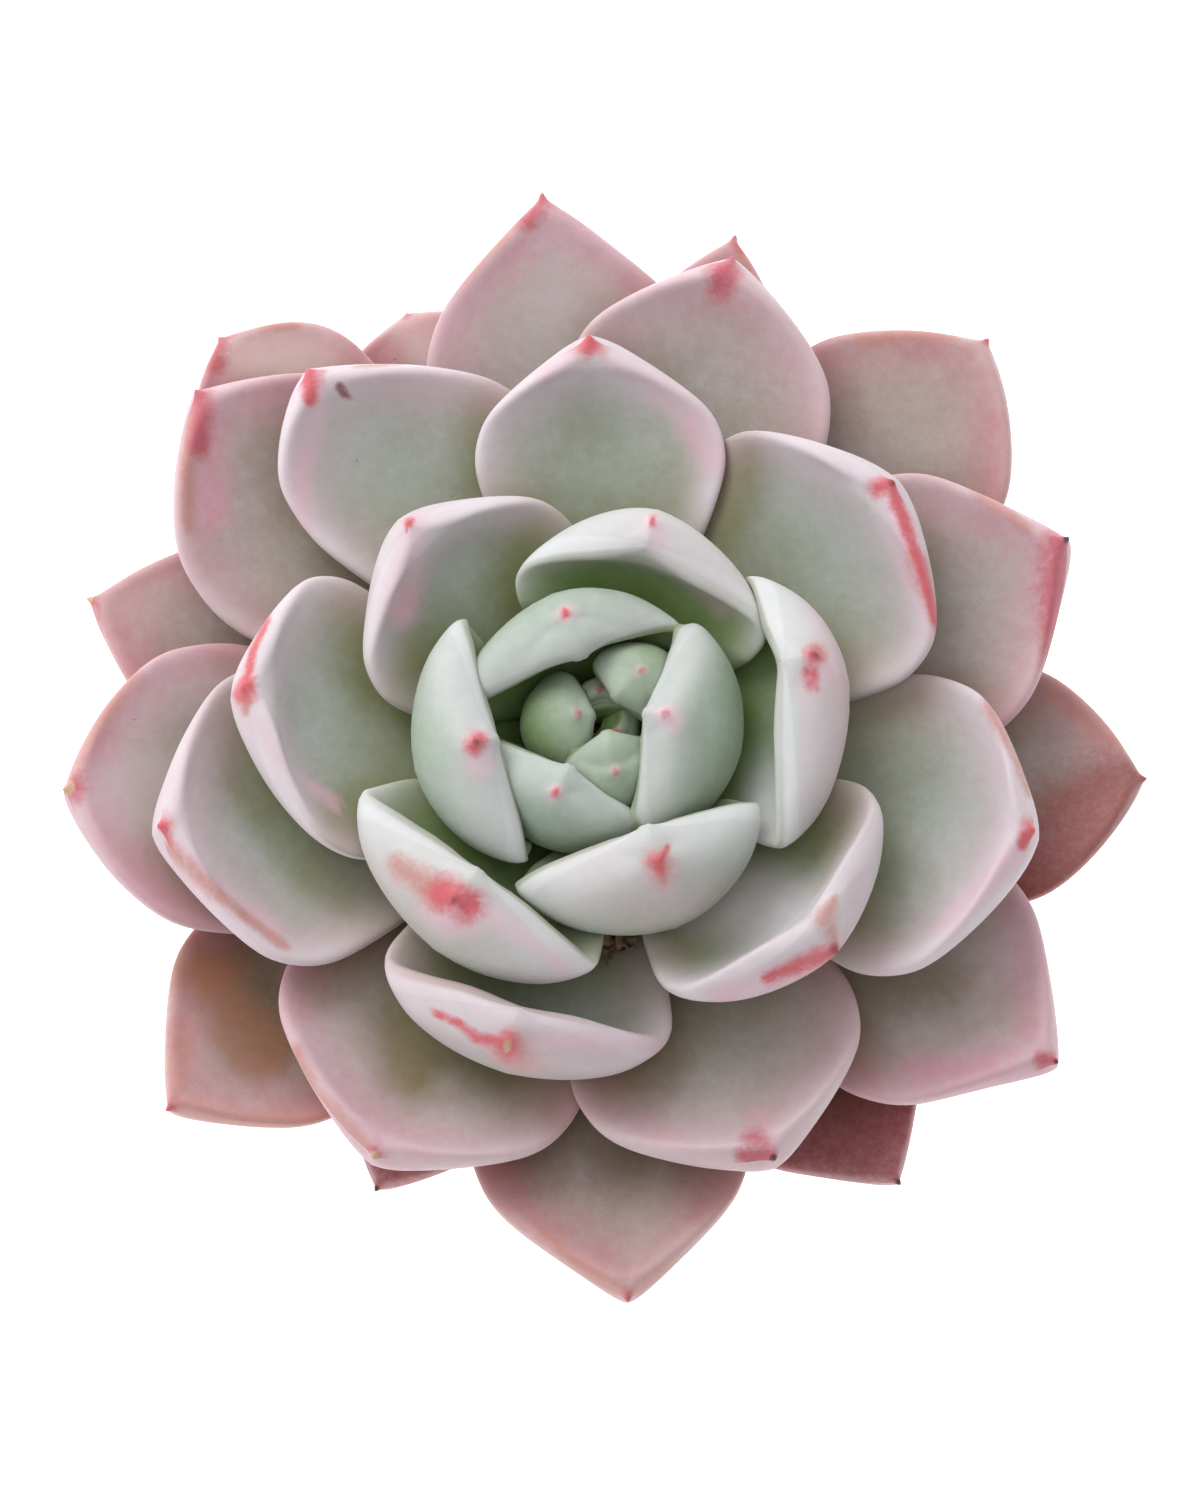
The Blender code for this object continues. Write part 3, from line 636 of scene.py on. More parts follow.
class Group(Bench):
    """The bench of a shared effect, with its inputs in get and its outputs in put."""

    def __init__(self, name: str, inputs: dict[str, float], outputs: tuple[str, ...]) -> None:
        """Begin a node group of values.

        Args:
            name: the group's name.
            inputs: its inputs and their usual values.
            outputs: its outputs.
        """
        super().__init__(bpy.data.node_groups.new(name, "ShaderNodeTree"))
        for key, usual in inputs.items():
            socket = self.tree.interface.new_socket(key, in_out="INPUT",
                                                    socket_type="NodeSocketFloat")
            socket.default_value = usual
        for key in outputs:
            self.tree.interface.new_socket(key, in_out="OUTPUT", socket_type="NodeSocketFloat")
        self.get = self.tree.nodes.new("NodeGroupInput").outputs
        self.put = self.tree.nodes.new("NodeGroupOutput").inputs


class Effects:
    """Shader effects that several finishes share, each built once as a node group."""

    def __init__(self) -> None:
        """Build every shared group."""
        self.mottle = self._mottle()
        self.bloom = self._bloom()
        self.stain = self._stain()
        self.grain = self._grain()
        self.dust = self._dust()
        self.specks = self._specks()

    def _mottle(self) -> bpy.types.NodeTree:
        """Build the mottling: soft clouds with finer clouds inside them.

        Returns:
            The group, which puts out Value.
        """
        group = Group("mottle", {"Size": 0.006, "Contrast": 0.5}, ("Value",))
        large = group.noise(group.get["Size"], 2.0, 0.55)
        small = group.noise(group.times(group.get["Size"], 0.23), 2.0, 0.6)
        both = group.scaled(small, 0.4, group.times(large, 0.6))
        wide = group.times(group.math("SUBTRACT", both, 0.5), group.get["Contrast"])
        group.feed(group.put["Value"], group.scaled(wide, 4.0, 0.5, clamp=True))
        return group.tree

    def _bloom(self) -> bpy.types.NodeTree:
        """Build the powdery bloom: an even dust, thinner in rubbed places, with a fine grain.

        Returns:
            The group, which puts out Mask and Height.
        """
        group = Group("powder_bloom", {"Rub Size": 0.008, "Grain Size": 0.00035, "Cover": 0.7,
                                       "Rub": 0.3}, ("Mask", "Height"))
        clouds = group.noise(group.get["Rub Size"], 3.0, 0.6, twist=0.4)
        worn = group.rise(clouds, 0.42, 0.68)
        grain = group.noise(group.get["Grain Size"], 2.0, 0.6)
        even = group.scaled(grain, 0.5, 0.75)
        left = group.math("SUBTRACT", 1.0, group.times(worn, group.get["Rub"]))
        cover = group.times(left, group.get["Cover"])
        group.feed(group.put["Mask"], group.times(cover, even, clamp=True))
        group.feed(group.put["Height"], group.times(grain, cover))
        return group.tree

    def _stain(self) -> bpy.types.NodeTree:
        """Build the stain edge: turns a smooth reach into a patch with a ragged outline.

        Returns:
            The group, which puts out Mask.
        """
        group = Group("stain_edge", {"Reach": 0.0, "Grain Size": 0.0016, "Ragged": 0.8,
                                     "Softness": 0.25}, ("Mask",))
        lumps = group.noise(group.get["Grain Size"], 5.0, 0.68, twist=0.6)
        shift = group.times(group.math("SUBTRACT", lumps, 0.5), group.get["Ragged"])
        level = group.math("ADD", group.get["Reach"], shift)
        low = group.times(group.get["Softness"], -0.5)
        high = group.times(group.get["Softness"], 0.5)
        group.feed(group.put["Mask"], group.rise(level, low, high))
        return group.tree

    def _grain(self) -> bpy.types.NodeTree:
        """Build the grain: raised grit and small pits for clay, bark, soil and stones.

        Returns:
            The group, which puts out Height and Pit Mask.
        """
        group = Group("grain", {"Size": 0.0008, "Pit Size": 0.0015, "Pits": 0.5},
                      ("Height", "Pit Mask"))
        fine = group.noise(group.get["Size"], 4.0, 0.65)
        cells = group.cells(group.get["Pit Size"])
        pit = group.rise(cells.outputs["Distance"], 0.0, 0.28, 1.0, 0.0)
        pit = group.times(pit, group.get["Pits"])
        group.feed(group.put["Height"], group.math("SUBTRACT", fine, pit))
        group.feed(group.put["Pit Mask"], pit)
        return group.tree

    def _dust(self) -> bpy.types.NodeTree:
        """Build the dust: patches that lie mostly on what faces up.

        Returns:
            The group, which puts out Mask.
        """
        group = Group("dust", {"Size": 0.01, "Amount": 0.3, "Upward": 0.5}, ("Mask",))
        split = group.node("SeparateXYZ")
        group.feed(split.inputs[0], group.node("NewGeometry").outputs["Normal"])
        up = group.rise(split.outputs["Z"], -0.2, 1.0)
        lying = group.scaled(up, group.get["Upward"],
                             group.math("SUBTRACT", 1.0, group.get["Upward"]))
        patch = group.rise(group.noise(group.get["Size"], 4.0, 0.62, twist=0.3), 0.38, 0.72)
        both = group.times(lying, patch)
        group.feed(group.put["Mask"], group.times(both, group.get["Amount"], clamp=True))
        return group.tree

    def _specks(self) -> bpy.types.NodeTree:
        """Build the specks: a few tiny round dots scattered far apart.

        Returns:
            The group, which puts out Mask.
        """
        group = Group("specks", {"Spacing": 0.003, "Dot Size": 0.05, "Share": 0.2}, ("Mask",))
        cells = group.cells(group.get["Spacing"])
        split = group.node("SeparateXYZ")
        group.feed(split.inputs[0], cells.outputs["Color"])
        kept = group.math("LESS_THAN", split.outputs["X"], group.get["Share"])
        size = group.times(group.get["Dot Size"], group.math("ADD", split.outputs["Y"], 0.4))
        near = group.rise(cells.outputs["Distance"], size, group.times(size, 0.6))
        group.feed(group.put["Mask"], group.times(near, kept))
        return group.tree


def new_material(name: str) -> tuple[bpy.types.Material, Bench, bpy.types.Node]:
    """Start a material.

    Args:
        name: the material's name.

    Returns:
        The material, a bench on its nodes and its Principled shader.
    """
    material = bpy.data.materials.new(name)
    material.use_nodes = True
    bench = Bench(material.node_tree)
    return material, bench, material.node_tree.nodes["Principled BSDF"]


def preset(node: bpy.types.Node, **values: float | tuple) -> None:
    """Set constant inputs of a node; underscores stand for spaces."""
    for key, value in values.items():
        node.inputs[key.replace("_", " ")].default_value = value


def roughen(bench: Bench, shader: bpy.types.Node, height: Socket, depth: float,
            strength: float) -> None:
    """Give a shader fine relief.

    Args:
        bench: the material's bench.
        shader: its Principled shader.
        height: pattern of heights, about 0 to 1.
        depth: metres from its lowest to its highest.
        strength: how much of it is used.
    """
    bump = bench.node("Bump")
    preset(bump, Strength=strength, Distance=depth)
    bench.feed(bump.inputs["Height"], height)
    bench.feed(shader.inputs["Normal"], bump.outputs["Normal"])


@dataclass(frozen=True)
class Stain:
    """How the marks of one tint break up at their edges."""
    tint: Tint
    lumps: float                # size of the ragged bits, metres
    ragged: float               # how far they reach in and out
    soft: float                 # how softly they end
    most: float                 # how much of the skin under them they hide


STAINS = (Stain(TAN, 0.0040, 1.3, 1.4, 0.95), Stain(WARM, 0.0016, 1.5, 1.5, 0.90),
          Stain(RED, 0.0013, 1.5, 1.35, 1.0), Stain(BLOOD, 0.0006, 0.8, 1.0, 0.85),
          Stain(CORK, 0.0005, 0.3, 0.4, 0.9), Stain(DARK, 0.0004, 0.4, 0.5, 0.95))


@dataclass(frozen=True)
class LeafFinish:
    """The skin of the leaves of one age: colours from the middle of the blade to its marks."""
    core: Colour
    # the next colour is the green of the leaf base, and also the painted shade near younger leaves and
    # under DEEP marks
    deep: Colour
    rim: Colour
    pink: Colour
    warm: Colour = (0.50, 0.23, 0.20)
    red: Colour = (0.58, 0.085, 0.11)
    blood: Colour = (0.22, 0.03, 0.035)
    tan: Colour = (0.30, 0.12, 0.06)
    cork: Colour = (0.50, 0.33, 0.20)
    dark: Colour = (0.035, 0.02, 0.02)
    powder: Colour = (0.66, 0.70, 0.72)
    powder_cover: float = 0.14
    clouds: float = 0.011               # size of the broad unevenness, metres
    mottles: float = 0.0045             # of the middling
    flecks: float = 0.0011              # and of the fine
    mark_edge: float = 0.2              # the value from which a mark shows
    relief: float = 0.00008
    bleed: float = 0.0016               # how far light spreads in the flesh

    def make(self, name: str, effects: Effects) -> bpy.types.Material:
        """Build the material.

        Args:
            name: its name.
            effects: the shared node groups.

        Returns:
            The material.
        """
        material, bench, shader = new_material(name)
        mottle = bench.place(effects.mottle, Size=self.mottles, Contrast=0.4).outputs["Value"]
        broad = bench.place(effects.mottle, Size=self.clouds, Contrast=0.5).outputs["Value"]
        # from the green base and the painted shade, over the middle of the blade, to the pale margin
        green_and_shade_share = bench.scaled(mottle, 0.34, bench.math("SUBTRACT", bench.attribute("deep"), 0.17),
                            clamp=True)
        colour = bench.mix(green_and_shade_share, self.core, self.deep)
        # the powder thins out over the green base and the painted shade
        outside_green_and_shade = bench.scaled(green_and_shade_share, -0.85, 1.0)
        bloom = bench.place(effects.bloom, Rub=0.6, Cover=bench.times(outside_green_and_shade, self.powder_cover))
        pink = bench.attribute("pink")
        uneven = bench.times(pink, bench.scaled(broad, 0.7, 0.65))
        colour = bench.mix(bench.times(uneven, 0.9, clamp=True), colour, self.pink)
        rim = bench.times(bench.attribute("rim"), bench.scaled(broad, -0.45, 1.2), clamp=True)
        showing = bench.scaled(pink, -0.5, 1.0)
        colour = bench.mix(bench.times(rim, showing), colour, self.rim)
        colour = bench.mix(bloom.outputs["Mask"], colour, self.powder)
        # marks, each with its own ragged edge
        fine = bench.place(effects.mottle, Size=self.flecks, Contrast=0.9).outputs["Value"]
        for kind in STAINS:
            reach = bench.math("SUBTRACT", bench.attribute(kind.tint.value), self.mark_edge)
            stain = bench.place(effects.stain, Reach=reach, Grain_Size=kind.lumps,
                                Ragged=kind.ragged, Softness=kind.soft).outputs["Mask"]
            patchy = bench.times(stain, bench.scaled(fine, 0.4, kind.most - 0.2), clamp=True)
            colour = bench.mix(patchy, colour, getattr(self, kind.tint.value))
        specks = bench.place(effects.specks, Spacing=0.0032, Dot_Size=0.045, Share=0.12)
        colour = bench.mix(bench.times(specks.outputs["Mask"], 0.6), colour, self.dark)
        bench.feed(shader.inputs["Roughness"],
                   bench.scaled(bloom.outputs["Mask"], 0.5, 0.5, clamp=True))
        # less frost over the green base and the painted shade
        frost = bench.times(outside_green_and_shade, bench.scaled(fine, 0.12, -0.02))
        colour = bench.mix(frost, colour, self.powder)
        bench.feed(shader.inputs["Base Color"], colour)
        swell = bench.scaled(mottle, 1.6, bloom.outputs["Height"])
        roughen(bench, shader, swell, self.relief, 0.6)
        preset(shader, Subsurface_Weight=0.35, Subsurface_Radius=(1.0, 0.75, 0.6),
               Subsurface_Scale=self.bleed, Specular_IOR_Level=0.3, Sheen_Weight=0.12,
               Sheen_Roughness=0.6)
        return material


@dataclass(frozen=True)
class MineralFinish:
    """A dull mineral or woody surface: two base colours, grit, pits, stains and dust."""
    light: Colour
    shade: Colour
    dust: Colour
    stain: Colour
    mottle_size: float = 0.006
    grain_size: float = 0.0006
    pit_size: float = 0.0014
    pits: float = 0.5
    depth: float = 0.0002
    dusting: float = 0.35
    upward: float = 0.4
    roughness: float = 0.85
    damp_edge: float = 0.006            # size of the ragged bits of a damp stain

    def make(self, name: str, effects: Effects) -> bpy.types.Material:
        """Build the material.

        Args:
            name: its name.
            effects: the shared node groups.

        Returns:
            The material.
        """
        material, bench, shader = new_material(name)
        mottle = bench.place(effects.mottle, Size=self.mottle_size, Contrast=0.55).outputs["Value"]
        grain = bench.place(effects.grain, Size=self.grain_size, Pit_Size=self.pit_size,
                            Pits=self.pits)
        dust = bench.place(effects.dust, Size=self.mottle_size * 2.2, Amount=self.dusting,
                           Upward=self.upward).outputs["Mask"]
        damp = bench.place(effects.stain, Reach=bench.attribute("damp"),
                           Grain_Size=self.damp_edge, Ragged=1.2, Softness=0.8).outputs["Mask"]
        colour = bench.mix(mottle, self.light, self.shade)
        colour = bench.mix(bench.times(damp, 0.6), colour, self.stain)
        colour = bench.mix(dust, colour, self.dust)
        pit = bench.times(grain.outputs["Pit Mask"], 0.7)
        colour = bench.mix(pit, colour, self.stain)
        bench.feed(shader.inputs["Base Color"], colour)
        bench.feed(shader.inputs["Roughness"],
                   bench.scaled(dust, 0.15, self.roughness - 0.05, clamp=True))
        roughen(bench, shader, grain.outputs["Height"], self.depth, 0.8)
        preset(shader, Specular_IOR_Level=0.25)
        return material


LEAF_FINISHES = {
    Age.HEART: LeafFinish(core=(0.28, 0.36, 0.24), deep=(0.12, 0.20, 0.04), rim=(0.50, 0.55, 0.50),
                          pink=(0.60, 0.37, 0.37), red=(0.40, 0.09, 0.13), powder_cover=0.10),
    Age.INNER: LeafFinish(core=(0.27, 0.34, 0.26), deep=(0.13, 0.215, 0.035), rim=(0.72, 0.72, 0.74),
                          pink=(0.66, 0.41, 0.47)),
    Age.MIDDLE: LeafFinish(core=(0.30, 0.34, 0.295), deep=(0.135, 0.165, 0.045), rim=(0.72, 0.64, 0.69),
                           pink=(0.62, 0.34, 0.41)),
    Age.OUTER: LeafFinish(core=(0.35, 0.31, 0.275), deep=(0.15, 0.135, 0.04), rim=(0.70, 0.57, 0.60),
                          pink=(0.54, 0.24, 0.295), red=(0.48, 0.09, 0.12)),
    Age.OLDEST: LeafFinish(core=(0.35, 0.285, 0.245), deep=(0.13, 0.10, 0.035), rim=(0.74, 0.57, 0.53),
                           pink=(0.47, 0.18, 0.20), red=(0.45, 0.09, 0.11)),
}


# ---- leaves ----------------------------------------------------------------------------------
@dataclass(frozen=True)
class Growth:
    """How colour spreads over a leaf at one rank in the rosette."""
    rim: float                  # strength of the pale rounded margin
    rim_width: float            # millimetres
    blush: float                # pink over the whole blade
    margin: float               # pink along the margin
    margin_width: float
    tip_reach: float            # radius of the pink halo round the tip, millimetres
    red_reach: float            # radius of the red point, millimetres
    deep_from: float            # share of the blade, from its base, that is deep green


GROWTH_RANKS = (0, 5, 9, 14, 20, 27, 34, 39)
GROWTH = (
    Growth(0.05, 0.8, 0.00, 0.02, 1.5, 0.9, 0.42, 0.86),
    Growth(0.45, 1.8, 0.00, 0.04, 2.0, 1.3, 0.50, 0.68),
    Growth(0.80, 2.6, 0.02, 0.20, 3.0, 1.8, 0.45, 0.64),
    Growth(0.90, 2.4, 0.05, 0.34, 4.2, 3.0, 0.55, 0.68),
    Growth(0.88, 2.2, 0.07, 0.58, 5.4, 4.4, 0.65, 0.66),
    Growth(0.62, 1.4, 0.12, 0.90, 4.8, 4.6, 0.70, 0.60),
    Growth(0.36, 1.2, 0.14, 0.96, 4.6, 4.6, 0.75, 0.54),
    Growth(0.30, 1.1, 0.24, 0.96, 4.6, 4.6, 0.75, 0.54),
)


def growth_at(rank: int) -> Growth:
    """Blend the growth values for a rank.

    Args:
        rank: a leaf's place in the rosette, 0 at the heart.

    Returns:
        The values between those of the ranks on either side.
    """
    names = list(Growth.__dataclass_fields__)
    return Growth(*[float(np.interp(rank, GROWTH_RANKS, [getattr(g, n) for g in GROWTH]))
                    for n in names])


@dataclass
class Rosette:
    """The forty leaves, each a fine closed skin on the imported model's own blade curves."""
    effects: Effects
    axis: tuple[float, float] = STEM_AXIS
    first_base_z: float = 93.0 * MM
    base_step_z: float = 0.68 * MM
    first_base_radius: float = 0.9 * MM
    base_step_radius: float = 0.42 * MM
    full_base_radius: float = 5.6 * MM
    young_thickness: float = 2.2 * MM
    full_thickness: float = 5.6 * MM
    old_thinning: float = 0.02 * MM
    upper_share: float = 0.42
    keel: float = 0.20
    section_power: float = 2.6
    tip_crowding: float = 1.7
    cup_local: float = 0.25
    outline_at: tuple = (0, 0.12, 0.3, 0.5, 0.66, 0.78, 0.88, 0.95, 0.985, 1)
    outline: tuple = (0.30, 0.36, 0.60, 0.88, 1.0, 0.91, 0.60, 0.30, 0.12, 0)
    blunter: tuple = (0, 0, 0, 0, 0, 0.08, 0.22, 0.22, 0.14, 0)
    sharper: tuple = (0, 0, 0, -0.02, 0, 0.05, 0.09, 0.07, 0.04, 0)
    outline_widest: float = 0.66
    thickness_at: tuple = (0, 0.15, 0.4, 0.65, 0.85, 0.95, 1)
    thickness: tuple = (0.42, 0.5, 0.85, 1.0, 0.95, 0.84, 0.70)
    packed_sections: int = 10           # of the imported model's blades, whose mean slope is kept
    packed_crowding: float = 1.35
    full_rank: int = 10                 # leaves are fully thick from this rank
    thinning_rank: int = 12             # and grow thinner again from this one
    first_old: int = 20                 # the first rank of the old leaves
    curve_steps: int = 400
    sections: int = 56
    sides: int = 60
    nose: float = 1.8 * MM              # the end rounds off in thickness over this length
    hooded_nose: float = 3.4 * MM
    end_radius: float = 0.35 * MM       # and in width with this radius
    hooded_end_radius: float = 0.9 * MM
    hood_length: float = 1.9 * MM
    hood_bend: float = 35.0
    hood_steps: int = 20
    hooded_from: float = 0.35           # from here the hard point lies on the underside
    bend_room: float = 0.7              # depth of the upper half over the curve's radius, at most
    tip_keel: float = 0.06
    tip_keel_from: float = 0.55         # share of the blade
    tip_keel_over: float = 0.4
    point_back: float = 0.2 * MM
    point_radius: float = 0.62 * MM
    point_length: float = 0.8 * MM
    point_falloff: float = 1.5
    point_middle: float = 0.6           # share of its length where its marks are centred
    point_lift: float = 0.45            # how much less a hooded point looks ahead
    point_droop: float = 0.15           # how much an unhooded one looks down
    blunt_point: float = 0.35           # how much smaller it is on a blunt leaf
    lip: float = 0.5 * MM               # the margins roll up by this much
    lip_width: float = 2.0 * MM
    lip_room: float = 6.0 * MM          # half the width that has a full lip
    lip_onset: float = 2.5              # how soon it starts along the blade
    cup_onset: float = 2.2
    outline_steps: int = 401
    outline_easing: int = 12
    waver: float = 0.22 * MM
    waver_size: float = 11.0 * MM
    waver_shift: float = 7.3            # from one leaf's unevenness to the next
    gap: float = 0.12 * MM              # kept between leaves that lie on each other
    press_reach: float = 6.0 * MM
    over_reach: float = 0.8 * MM
    press_easing: int = 3
    shelter: float = 7.8 * MM           # painted green shade reaches this far from a younger leaf
    under_rim: float = 0.75             # how pale the margin is on the underside
    rim_from: float = 0.25              # share of the blade where the pale margin starts
    rim_over: float = 0.3
    tip_pink: float = 0.8
    deep_before: float = 0.3            # the green fades out round its own share of the blade
    deep_over: float = 0.55
    deep_in_light: float = 0.85
    shade_from: float = 0.05            # how close to a younger leaf a place is where the painted green shade starts
    shade_over: float = 0.75
    shaded_rim: float = 0.6             # how much of the pale margin the painted shade takes away
    hidden: float = 2.0                 # taken off a mark's value on the side it isn't on
    mark_slope: float = 0.4             # a mark climbs this steeply with its leaf for free
    mark_drop: float = 0.6              # and ends this many millimetres under that
    halo_pink: float = 0.85
    # where round the section a mark or the full rim ends: 1 is the upper face, -1 the keel
    upper_side: float = 0.25
    lower_side: float = -0.4
    rim_side: float = -0.5
    keel_side: float = -0.6
    halo: float = 2.0                   # pink round a red mark, in times its radius

    def build(self) -> None:
        """Build, press apart, colour and attach every leaf, the youngest first."""
        finishes = {age: spec.make("leaf_" + age.name.lower(), self.effects)
                    for age, spec in LEAF_FINISHES.items()}
        trees: list[tuple] = []
        faces = tube_faces(self.sections, self.sides)
        for rank, leaf in enumerate(LEAVES):
            verts, flat = self.blade(leaf, rank)
            verts, flat["sheltered"] = self.press(verts, trees)
            trees.append((BVHTree.FromPolygons([Vector(v) for v in verts], faces),
                          verts.min(axis=0), verts.max(axis=0), Vector(flat["under"])))
            name = f"leaf_{rank + 1:02d}"
            item = place_mesh(name + "_skin", verts, faces, finishes[self.age(rank)],
                              self.masks(verts, flat, rank))
            slot = "young_leaf" if rank < self.first_old else "old_leaf"
            attach(item, slot, name)

    @staticmethod
    def age(rank: int) -> Age:
        """Say which growth stage a rank belongs to.

        Args:
            rank: a leaf's place in the rosette.

        Returns:
            Its stage.
        """
        for limit, age in ((5, Age.HEART), (13, Age.INNER), (22, Age.MIDDLE), (30, Age.OUTER)):
            if rank < limit:
                return age
        return Age.OLDEST

    def blade(self, leaf: Leaf, rank: int) -> tuple[np.ndarray, dict]:
        """Lay out one leaf's skin.

        Args:
            leaf: its measures.
            rank: its place in the rosette, 0 at the heart.

        Returns:
            Its points, and flat blade coordinates for each: metres back from the hard point,
            metres to the left and upper or lower side, with the outline, the blade's length and
            the direction out of its underside.
        """
        base = np.array([min(self.full_base_radius, self.first_base_radius
                             + self.base_step_radius * rank),
                         self.first_base_z - self.base_step_z * rank])
        tip = np.array([math.sqrt(leaf.reach**2 - leaf.sweep**2), leaf.tip]) * MM
        chord = np.linalg.norm(tip - base)
        rise, curl = math.radians(leaf.rise), math.radians(leaf.curl)
        curve = (base, base + leaf.low * chord * np.array([math.cos(rise), math.sin(rise)]),
                 tip - leaf.high * chord * np.array([math.cos(curl), math.sin(curl)]), tip)
        line, slope = bezier(curve, np.linspace(0, 1, self.curve_steps))
        coarse = np.linspace(0, 1, self.packed_sections)[:-1]
        mean = bezier(curve, 1 - (1 - coarse)**self.packed_crowding)[1].mean(axis=0)
        mean = mean / np.linalg.norm(mean)

        # beyond the hard point the margins close over the leaf's end like a hood
        hood = self.hood(leaf, rank)
        turns = curl + math.radians(self.hood_bend) * hood * np.linspace(0, 1, self.hood_steps)
        nose = np.stack([np.cos(turns), np.sin(turns)], axis=1)
        steps = nose * self.hood_length * hood / self.hood_steps
        line = np.concatenate([line, tip + np.cumsum(steps, axis=0)])
        slope = np.concatenate([slope, nose])
        along = np.concatenate([[0], np.cumsum(np.linalg.norm(np.diff(line, axis=0), axis=1))])
        blade_length = along[self.curve_steps - 1]
        length = along[-1]
        stations = (1 - (1 - np.linspace(0, 1, self.sections + 1))**self.tip_crowding)[:-1]
        reached = stations * length
        line = np.stack([np.interp(reached, along, line[:, n]) for n in (0, 1)], axis=1)
        slope = np.stack([np.interp(reached, along, slope[:, n]) for n in (0, 1)], axis=1)
        slope /= np.linalg.norm(slope, axis=1, keepdims=True)

        turn = math.radians(leaf.turn)
        outward = np.array([math.cos(turn), math.sin(turn), 0])
        across = np.array([-math.sin(turn), math.cos(turn), 0])
        up = np.array([0, 0, 1.0])
        axis = np.array([*self.axis, 0])
        face_mean = -mean[1] * outward + mean[0] * up

        share = np.minimum(reached / blade_length, 1)
        full = (leaf.thick * MM if leaf.thick else
                self.young_thickness + (self.full_thickness - self.young_thickness)
                * min(1, rank / self.full_rank)
                - self.old_thinning * max(0, rank - self.thinning_rank))
        to_end = length - reached
        nose_length = self.nose + (self.hooded_nose - self.nose) * min(hood, 1)
        close = np.clip(to_end / nose_length, 0, 1)
        rounding = np.sqrt(close * (2 - close))
        depth = full * eased(share, self.thickness_at, self.thickness) * rounding
        end_radius = self.end_radius + (self.hooded_end_radius - self.end_radius) * min(hood, 1)
        blunt = np.clip(to_end / end_radius, 0, 1)
        cap = end_radius * np.sqrt(blunt * (2 - blunt))
        half = np.maximum(self.half_widths(leaf, reached / length), cap)

        angle = np.arange(self.sides) / self.sides * 2 * np.pi
        power = 2 / self.section_power
        flat = np.sign(np.cos(angle)) * np.abs(np.cos(angle))**power
        side = np.sign(np.sin(angle)) * np.abs(np.sin(angle))**power
        bend = np.gradient(np.unwrap(np.arctan2(slope[:, 1], slope[:, 0])), reached)
        rings, sheet = [], []
        for k, u in enumerate(share):
            upper = min(depth[k] * self.upper_share, self.bend_room / max(bend[k], 1e-6))
            lower = depth[k] * (1 - self.upper_share)
            middle = line[k, 0] * outward + line[k, 1] * up + across * leaf.sweep * MM * u * u
            face = -slope[k, 1] * outward + slope[k, 0] * up
            wide = flat * half[k] * np.where(flat > 0, leaf.left, leaf.right)
            crest = self.keel + self.tip_keel * hood * soft_step(
                (u - self.tip_keel_from) / self.tip_keel_over)
            high = np.where(side > 0, side * upper, side * lower * (1 + crest * (1 - np.abs(flat))))
            from_edge = half[k] * (1 - np.abs(flat))
            room = min(1.0, half[k] / self.lip_room) * np.exp(-(from_edge / self.lip_width)**2)
            lip = self.lip * room * min(u * self.lip_onset, 1)
            cup = leaf.cup * half[k] * flat**2 * min(u * self.cup_onset, 1)
            rings.append(axis + middle + np.outer(wide, across) + np.outer(high + lip, face)
                         + np.outer(cup, self.cup_local * face + (1 - self.cup_local) * face_mean))
            sheet.append(np.stack([np.full(self.sides, blade_length - reached[k]), wide, side],
                                  axis=1))
        end = line[-1] + slope[-1] * (length - reached[-1])
        last = end[0] * outward + end[1] * up + across * leaf.sweep * MM
        verts = np.concatenate(rings + [axis + last[None, :], rings[0].mean(axis=0)[None, :]])
        sheet = np.concatenate(sheet + [np.array([[blade_length - length, 0, 0],
                                                  [blade_length, 0, 0]])])
        verts = verts + self.wavering(verts, rank)
        sharp = 1 - self.blunt_point * max(0.0, leaf.blunt)
        verts, point = self.add_point(verts, sheet, self.point_size(rank) * sharp, hood)
        back = blade_length - reached
        left = np.stack([back, half * leaf.left], axis=1)
        right = np.stack([back, -half * leaf.right], axis=1)
        outline = np.concatenate([left, [[blade_length - length, 0]], right[::-1]])
        return verts, {"back": sheet[:, 0], "left": sheet[:, 1], "side": sheet[:, 2],
                       "outline": outline, "length": blade_length, "under": -face_mean,
                       "point": point, "hood": hood}

    @staticmethod
    def hood(leaf: Leaf, rank: int) -> float:
        """Say how far the margins close over the tip, from 0 to 1."""
        return leaf.hood * float(np.interp(rank, (0, 2, 5, 15, 18, 21), (0.4, 0.7, 1, 1, 0.9, 0)))

    @staticmethod
    def point_size(rank: int) -> float:
        """Say how large the hard point is at a rank, as a share of the usual size."""
        return float(np.interp(rank, (0, 4, 6, 18, 22, 39), (0.7, 0.8, 1.1, 1.0, 0.8, 0.6)))

